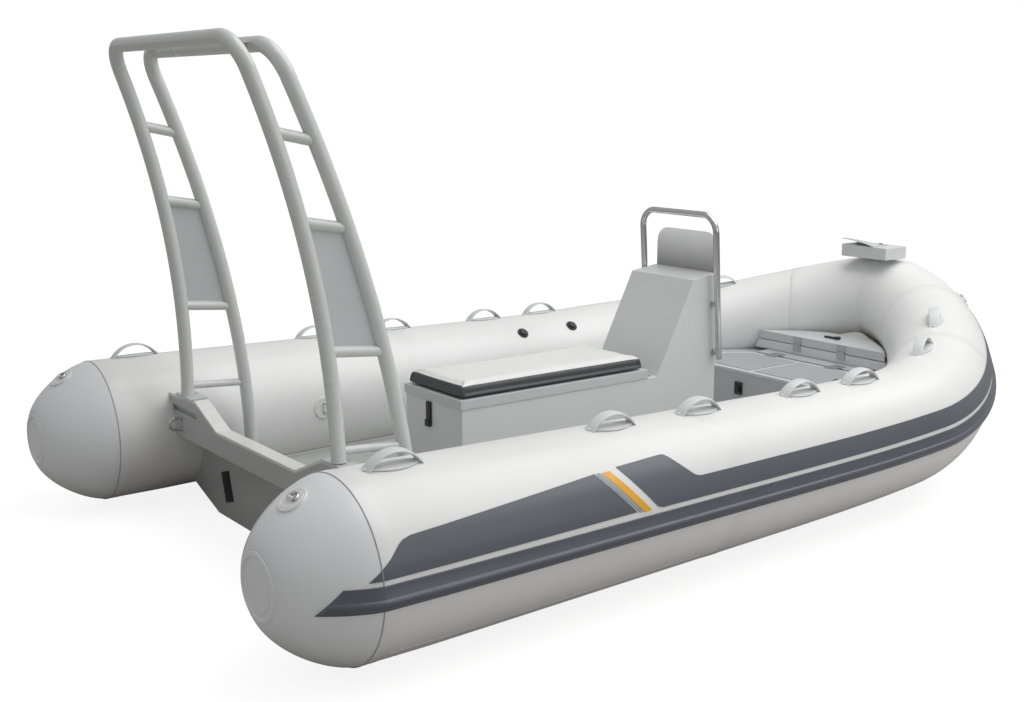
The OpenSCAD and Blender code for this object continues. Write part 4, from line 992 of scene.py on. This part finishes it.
def ring_fitting(name, place, forward, out, nodes=()):
    """A round pad with a stitched rim, a keeper strap and a steel D-ring lying on it.
    The ring is half a circle and its chord swept by a round bar."""
    forward = np.asarray(forward, float) / np.linalg.norm(forward)
    out = np.asarray(out, float) / np.linalg.norm(out)
    across = np.cross(out, forward)
    across /= np.linalg.norm(across)
    basis = np.stack([np.cross(across, out), across, out])
    pad = [(0.0005, -0.012), (0.042, -0.012), (0.042, 0.0015), (0.041, 0.003), (0.036, 0.0032),
           (0.035, 0.0022), (0.034, 0.0022), (0.033, 0.0034), (0.0005, 0.0034)]
    disc = turned(f"{name} pad", pad, place, out, MATERIALS["tape"], 48)
    if nodes:
        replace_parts(disc, *nodes)
    turn = np.linspace(-np.pi / 2, np.pi / 2, 21)
    half = np.stack([RING_RADIUS * np.cos(turn), RING_RADIUS * np.sin(turn), np.full(21, RING_UP)], -1)
    chord = np.stack([np.zeros(7), np.linspace(RING_RADIUS, -RING_RADIUS, 9)[1:-1],
                      np.full(7, RING_UP)], -1)
    local = np.concatenate([half, chord])
    path = np.asarray(place) + local @ basis
    ring = solid_grid(f"{name} ring", sweep(path, circle_profile(RING_BAR_RADIUS, 14), out, True),
                      MATERIALS["steel"], close_rows=True)
    rows, columns = 5, 13
    u = np.linspace(-0.012, 0.012, columns)
    grid = np.zeros((rows, columns, 3))
    grid[..., 0] = u
    grid[..., 1] = np.linspace(-0.013, 0.013, rows)[:, None]
    grid[..., 2] = 0.0034 + 0.0098 * np.exp(-(u / 0.0058) ** 4)
    low = grid.copy()
    low[..., 2] -= KEEPER_THICKNESS
    both = np.asarray(place) + np.concatenate([grid.reshape(-1, 3), low.reshape(-1, 3)]) @ basis
    keeper = new_object(f"{name} keeper", both, sheet_faces(rows, columns).tolist())
    turn_outwards(keeper)
    finish_piece(keeper, MATERIALS["tape"], HULL_BODY, 50)


def make_ring_fittings(size, run):
    """Lashing rings on the cones' tops, inside the tubes and at the bow."""
    spots = [("Stern", run.at_x(-0.322), 90.0, "stern_lashing_rings"),
             ("Inner", run.at_x(0.618), 177.0, "inner_lashing_rings"),
             ("Bow", run.at_angle(size, 62), 40.0, "bow_lashing_rings")]
    for name, along, degrees, node in spots:
        turn = math.radians(degrees)
        place = run.skin(along, turn, 0.0004)
        ahead = run.skin(along + 0.01, turn, 0.0004) - run.skin(along - 0.01, turn, 0.0004)
        around = run.skin(along, turn + 0.02) - run.skin(along, turn - 0.02)
        out = np.cross(ahead, around)
        out *= np.sign(out @ (place - run.out(along, 0, 0)))
        for label, side in SIDES:
            ring_fitting(f"{name} ring {label}", for_side(place, side), for_side(ahead, side),
                         for_side(out, side), (node,) if side > 0 else ())


def make_valves(run):
    """Inflation valves on the inner shoulder of the bow tube: a flanged body with a ribbed cap."""
    profile = [(0.0005, -0.004), (0.026, -0.004), (0.026, 0.003), (0.0245, 0.005), (0.0185, 0.0055),
               (0.0175, 0.0065), (0.0175, 0.011), (0.016, 0.0125), (0.0005, 0.0125)]
    for x in (1.690, 1.975):
        place = run.skin(run.at_x(x), math.radians(129), 0.0004)
        out = place - run.out(run.at_x(x), 0, 0)
        for label, side in SIDES:
            valve = turned(f"Valve {x:.2f} {label}", profile, for_side(place, side), for_side(out, side),
                           MATERIALS["black"], 36)
            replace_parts(valve, "inflation_valves")


# ---- Arch -------------------------------------------------------------------

ARCH_BEND = 0.095
ARCH_BAR_RADIUS = 0.023
# Half-width between the legs at the height of the tubes' axis, and what it loses a metre up
LEG_HALF = 0.560
LEG_TAPER = 0.0666
# Each hoop: lower end of its bar, zero height and top of its curve, place of the leg at the
# zero height, how far aft the top lies from there, and power of the curve
HOOPS = {
    "aft": {"end": 0.172, "zero": 0.166, "top": 1.385, "x": 0.012, "sweep": 0.240, "power": 2.1},
    "fore": {"end": -0.162, "zero": -0.170, "top": 1.368, "x": 0.262, "sweep": 0.375, "power": 1.85},
}
# Upper edge and height of the panels along each hoop's legs
PANEL_TOP = {"aft": 0.876, "fore": 0.850}
PANEL_HEIGHT = {"aft": 0.376, "fore": 0.368}
PANEL_HALF_THICKNESS = 0.0015


def hoop_path(size, hoop):
    """Axis of a hoop: legs that lean aft with a power of their height, a round corner and a
    straight top. Heights are over the tubes' axis."""
    top_up = HOOPS[hoop]["top"]
    up = np.linspace(HOOPS[hoop]["end"], top_up - ARCH_BEND, 40)
    angle = np.linspace(0, np.pi / 2, 16)[1:]
    half = leg_half(up)
    corner_up = top_up - ARCH_BEND + ARCH_BEND * np.sin(angle)
    corner_half = half[-1] - ARCH_BEND * (1 - np.cos(angle))
    up, half = np.concatenate([up, corner_up]), np.concatenate([half, corner_half])
    x = arch_x(up, hoop)
    top = np.linspace(half[-1], 0, 8)[1:]
    port = np.concatenate([np.stack([x, half, up], -1),
                           np.stack([np.full(7, x[-1]), top, np.full(7, up[-1])], -1)])
    path = np.concatenate([port, (port * [1, -1, 1])[-2::-1]])
    return path + [0, 0, size.axis_height]


def make_arch(size):
    """The two hoops of the stern arch, round bars of one radius along a bent path."""
    for hoop in HOOPS:
        bar = sweep(hoop_path(size, hoop), circle_profile(ARCH_BAR_RADIUS, 32))
        piece = solid_grid(f"{hoop.capitalize()} hoop", bar, MATERIALS["arch"])
        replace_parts(piece, f"arch_{hoop}_hoop")


def leg_half(up):
    return LEG_HALF - LEG_TAPER * up


def arch_x(up, hoop):
    """Place of a hoop's leg at a height over the tubes' axis."""
    h = HOOPS[hoop]
    share = np.maximum((up - h["zero"]) / (h["top"] - h["zero"]), 0)
    return h["x"] - h["sweep"] * share ** h["power"]


def make_arch_panels(size):
    """Sheet panels that fill the legs from one rung to the next, and follow their curve."""
    share = np.linspace(0, 1, 25)
    edges = []
    for hoop in HOOPS:
        up = PANEL_TOP[hoop] - PANEL_HEIGHT[hoop] * share
        edges.append(np.stack([arch_x(up, hoop), up], -1))
    outline = np.concatenate([edges[0], edges[1][::-1]])
    count = len(outline)
    panels = []
    for side in (1, -1):
        points = np.zeros((2, count, 3))
        points[..., 0] = outline[:, 0]
        points[..., 1] = side * (leg_half(outline[:, 1]) + np.array([[-1], [1]]) * PANEL_HALF_THICKNESS)
        points[..., 2] = outline[:, 1] + size.axis_height
        faces = grid_faces(2, count, False, True).tolist()
        faces += [list(range(count)), list(range(count, 2 * count))[::-1]]
        panel = new_object("Arch panel", points, faces)
        turn_outwards(panel)
        panels.append(panel)
    whole = joined("Arch panels", panels, MATERIALS["panel"])
    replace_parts(whole, "arch_panels")


# ---- Bow box ----------------------------------------------------------------

def make_bow_box():
    """Closed sheet box on the stem with a raised, curved lid half and a knob."""
    low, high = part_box("bow_box")
    body = slab("Bow box", box_outline(low.x, high.x - 0.022, low.y, high.y), "xy", low.z + 0.004, high.z,
                MATERIALS["sheet"], 0.003)
    foot = slab("Bow box foot", box_outline(high.x - 0.062, high.x, -0.070, 0.070), "xy", low.z,
                low.z + 0.005, MATERIALS["sheet"], 0.001)
    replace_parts(body, "bow_box")
    u = np.linspace(0, 1, 13)[:, None]
    v = np.linspace(0, 1, 9)[None]
    lid = np.stack(np.broadcast_arrays(
        low.x - 0.004 + 0.110 * v, high.y - 0.006 - 0.172 * u,
        high.z + 0.0035 + 0.024 * (1 - v ** 2) * np.cos(u * np.pi / 2)), -1)
    skin_patch("Bow box lid", lid, (0, 0, 1), 0.003, MATERIALS["lid"])
    knob = turned("Bow box knob", [(0.0005, -0.004), (0.011, -0.004), (0.011, 0.006), (0.008, 0.009),
                                   (0.0005, 0.009)], (low.x + 0.085, -0.030, high.z), (0, 0, 1),
                  MATERIALS["black"], 28)


# ---- Seat cushion -----------------------------------------------------------

# The cushion's foam: size of its mesh, farthest shift of a point, frames and pressure of the cloth
FOAM_VOXEL = 0.006
FOAM_TRAVEL = 0.009
FOAM_FRAMES = 20
FOAM_PRESSURE = 4


def make_cushion():
    """Foam seat cushion: a remeshed block puffed up by a cloth simulation, held to its place."""
    low, high = (np.array(c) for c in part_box("seat_cushion"))
    inset = np.array([0.012, 0.012, 0.004])
    corner, far = low + inset, high - inset
    obj = slab("Cushion", box_outline(corner[0], far[0], corner[1], far[1]), "xy", corner[2], far[2],
               MATERIALS["cushion"], 0.0, "seat_lid_body")
    puff_up(obj, low, high)
    smooth = obj.modifiers.new("Smooth", "SUBSURF")
    smooth.levels = smooth.render_levels = 1
    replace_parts(obj, "seat_cushion")


def puff_up(obj, low, high):
    """Voxel remesh, then a cloth simulation with a little pressure and no gravity; the shift
    of each point is kept within the foam's room."""
    bpy.context.view_layer.objects.active = obj
    obj.modifiers.clear()
    edge = obj.modifiers.new("Edge", "BEVEL")
    edge.width = 0.010
    edge.segments = 3
    grid = obj.modifiers.new("Grid", "REMESH")
    grid.mode = "VOXEL"
    grid.voxel_size = FOAM_VOXEL
    depsgraph = bpy.context.evaluated_depsgraph_get()
    mesh = bpy.data.meshes.new_from_object(obj.evaluated_get(depsgraph))
    obj.modifiers.clear()
    obj.data = mesh
    count = len(mesh.vertices)
    rest = np.empty(count * 3)
    mesh.vertices.foreach_get("co", rest)
    rest = rest.reshape(-1, 3)
    held = obj.vertex_groups.new(name="Held")
    held.add(np.flatnonzero(rest[:, 2] < low[2] + 0.014).tolist(), 1.0, "REPLACE")
    cloth = obj.modifiers.new("Foam", "CLOTH")
    cloth.settings.vertex_group_mass = "Held"
    cloth.settings.mass = 0.3
    cloth.settings.tension_stiffness = 15
    cloth.settings.compression_stiffness = 15
    cloth.settings.bending_stiffness = 8
    cloth.settings.use_pressure = True
    cloth.settings.uniform_pressure_force = FOAM_PRESSURE
    cloth.settings.effector_weights.gravity = 0
    cloth.settings.quality = 6
    cloth.collision_settings.use_collision = False
    cloth.collision_settings.use_self_collision = False
    scene = bpy.context.scene
    for at in range(1, FOAM_FRAMES + 1):
        scene.frame_set(at)
    evaluated = obj.evaluated_get(bpy.context.evaluated_depsgraph_get())
    moved = np.empty(count * 3)
    evaluated.data.vertices.foreach_get("co", moved)
    shift = moved.reshape(-1, 3) - rest
    length = np.linalg.norm(shift, axis=1, keepdims=True)
    shift *= np.minimum(1, FOAM_TRAVEL / np.maximum(length, 1e-9))
    placed = np.clip(rest + shift, low - 0.002, high + [0.002, 0.002, 0.006])
    placed[:, 2] = np.maximum(placed[:, 2], low[2])
    obj.modifiers.clear()
    mesh.vertices.foreach_set("co", placed.ravel())
    mesh.update()
    mesh.shade_smooth()
    scene.frame_set(1)


# ---- Stage and camera -------------------------------------------------------

WORLD_LEVEL = 0.45
KEY_POWER = 255
FILL_POWER = 22
# What the camera adds to the floor's own light, which makes it white and leaves the shadow
FLOOR_GLOW = 0.85


def make_floor():
    """Pale floor at the water: white to the camera, with the boat's shadow kept soft."""
    bpy.ops.mesh.primitive_plane_add(size=60, location=(1.4, 0, 0))
    floor = bpy.context.object
    floor.name = "Floor"
    material = bpy.data.materials.new("Floor")
    material.use_nodes = True
    nodes, links = material.node_tree.nodes, material.node_tree.links
    shader = nodes["Principled BSDF"]
    shader.inputs["Roughness"].default_value = 0.9
    shader.inputs["Emission Color"].default_value = (1, 1, 1, 1)
    camera_ray = nodes.new("ShaderNodeLightPath").outputs["Is Camera Ray"]
    tone = nodes.new("ShaderNodeMix")
    tone.data_type = "RGBA"
    tone.inputs["A"].default_value = (0.42, 0.41, 0.395, 1)
    tone.inputs["B"].default_value = (0.30, 0.30, 0.30, 1)
    links.new(camera_ray, tone.inputs["Factor"])
    links.new(tone.outputs["Result"], shader.inputs["Base Color"])
    links.new(math_node(nodes, links, "MULTIPLY", camera_ray, FLOOR_GLOW), shader.inputs["Emission Strength"])
    floor.data.materials.append(material)
    return floor


def area_light(name, place, target, size, power):
    data = bpy.data.lights.new(name, "AREA")
    data.shape = "RECTANGLE"
    data.size, data.size_y = size
    data.energy = power
    light = bpy.data.objects.new(name, data)
    light.location = place
    light.rotation_euler = (Vector(target) - Vector(place)).to_track_quat("-Z", "Y").to_euler()
    bpy.context.scene.collection.objects.link(light)


def make_camera():
    """The view over the starboard quarter."""
    data = bpy.data.cameras.new("Camera")
    data.lens = 45.45
    data.sensor_width = 36
    data.clip_end = 200
    camera = bpy.data.objects.new("Camera", data)
    camera.location = (-1.774, -3.774, 1.517)
    camera.rotation_euler = (math.radians(90 - 11.19), 0, math.radians(53.117 - 90))
    bpy.context.scene.collection.objects.link(camera)
    bpy.context.scene.camera = camera


def make_world(level):
    """Even studio light, white to the camera."""
    world = bpy.data.worlds.new("Studio")
    world.use_nodes = True
    nodes, links = world.node_tree.nodes, world.node_tree.links
    background = nodes["Background"]
    background.inputs["Color"].default_value = (1.0, 1.0, 1.0, 1)
    camera_ray = nodes.new("ShaderNodeLightPath").outputs["Is Camera Ray"]
    extra = math_node(nodes, links, "MULTIPLY", camera_ray, 1.02 - level)
    links.new(math_node(nodes, links, "ADD", extra, level), background.inputs["Strength"])
    bpy.context.scene.world = world


# ---- Operators --------------------------------------------------------------

class BoatOperator:
    """What the boat's operators share: the settings, and a run that raises on failure."""
    bl_options = {"REGISTER", "UNDO"}

    def execute(self, context):
        size = context.scene.boat_sizes
        self.build(size, TubeRun(size))
        return {"FINISHED"}


class BOAT_OT_materials(BoatOperator, Operator):
    """Makes the boat's finishes and paints the CAD solids that stay"""
    bl_idname = "boat.materials"
    bl_label = "Finishes"

    def build(self, size, run):
        make_materials(bpy.context.scene.boat_colours)
        finish_cad_nodes()


class BOAT_OT_tubes(BoatOperator, Operator):
    """Builds the buoyancy tubes, their cones and seam tapes"""
    bl_idname = "boat.tubes"
    bl_label = "Tubes"

    def build(self, size, run):
        make_tubes(size, run)
        make_cones(size, run)
        make_seam_tapes(size, run)


class BOAT_OT_trim(BoatOperator, Operator):
    """Builds the strake and the decals on the tubes' sides"""
    bl_idname = "boat.trim"
    bl_label = "Strake and decals"

    def build(self, size, run):
        make_strakes(size, run)
        make_decals(run)


class BOAT_OT_fittings(BoatOperator, Operator):
    """Builds the grab handles, lashing rings and valves"""
    bl_idname = "boat.fittings"
    bl_label = "Tube fittings"

    def build(self, size, run):
        make_handles(size, run)
        make_ring_fittings(size, run)
        make_valves(run)


class BOAT_OT_arch(BoatOperator, Operator):
    """Builds the stern arch's hoops and panels, and the bow box"""
    bl_idname = "boat.arch"
    bl_label = "Arch and bow box"

    def build(self, size, run):
        make_arch(size)
        make_arch_panels(size)
        make_bow_box()


class BOAT_OT_cushion(BoatOperator, Operator):
    """Builds the seat cushion"""
    bl_idname = "boat.cushion"
    bl_label = "Cushion"

    def build(self, size, run):
        make_cushion()


class BOAT_OT_stage(BoatOperator, Operator):
    """Sets the camera, the lights and the floor"""
    bl_idname = "boat.stage"
    bl_label = "Stage"

    def build(self, size, run):
        make_camera()
        make_world(WORLD_LEVEL)
        make_floor()
        area_light("Key", (3.4, -1.5, 5.2), (1.3, 0, 0.3), (6, 6), KEY_POWER)
        area_light("Fill", (3.0, -6.0, 2.4), (1.3, 0, 0.4), (4, 2), FILL_POWER)
        bpy.context.scene.view_settings.view_transform = "Standard"


OPERATORS = (BOAT_OT_materials, BOAT_OT_tubes, BOAT_OT_trim, BOAT_OT_fittings, BOAT_OT_arch,
             BOAT_OT_cushion, BOAT_OT_stage)


class BOAT_PT_panel(Panel):
    """The boat's settings and steps in the 3D view's sidebar"""
    bl_idname = "BOAT_PT_panel"
    bl_label = "Inflatable boat"
    bl_space_type = "VIEW_3D"
    bl_region_type = "UI"
    bl_category = "Boat"

    def draw(self, context):
        layout = self.layout
        for group in (context.scene.boat_sizes, context.scene.boat_colours):
            box = layout.box()
            for name in group.bl_rna.properties.keys():
                if name not in ("rna_type", "name"):
                    box.prop(group, name)
        for operator in OPERATORS:
            layout.operator(operator.bl_idname)


CLASSES = (BoatSizes, BoatColours, *OPERATORS, BOAT_PT_panel)


def register():
    for each in CLASSES:
        bpy.utils.register_class(each)
    bpy.types.Scene.boat_sizes = PointerProperty(type=BoatSizes)
    bpy.types.Scene.boat_colours = PointerProperty(type=BoatColours)


def unregister():
    del bpy.types.Scene.boat_colours
    del bpy.types.Scene.boat_sizes
    for each in reversed(CLASSES):
        bpy.utils.unregister_class(each)


def main():
    register()
    for operator in OPERATORS:
        group, name = operator.bl_idname.split(".")
        getattr(getattr(bpy.ops, group), name)()


if __name__ == "__main__":
    main()
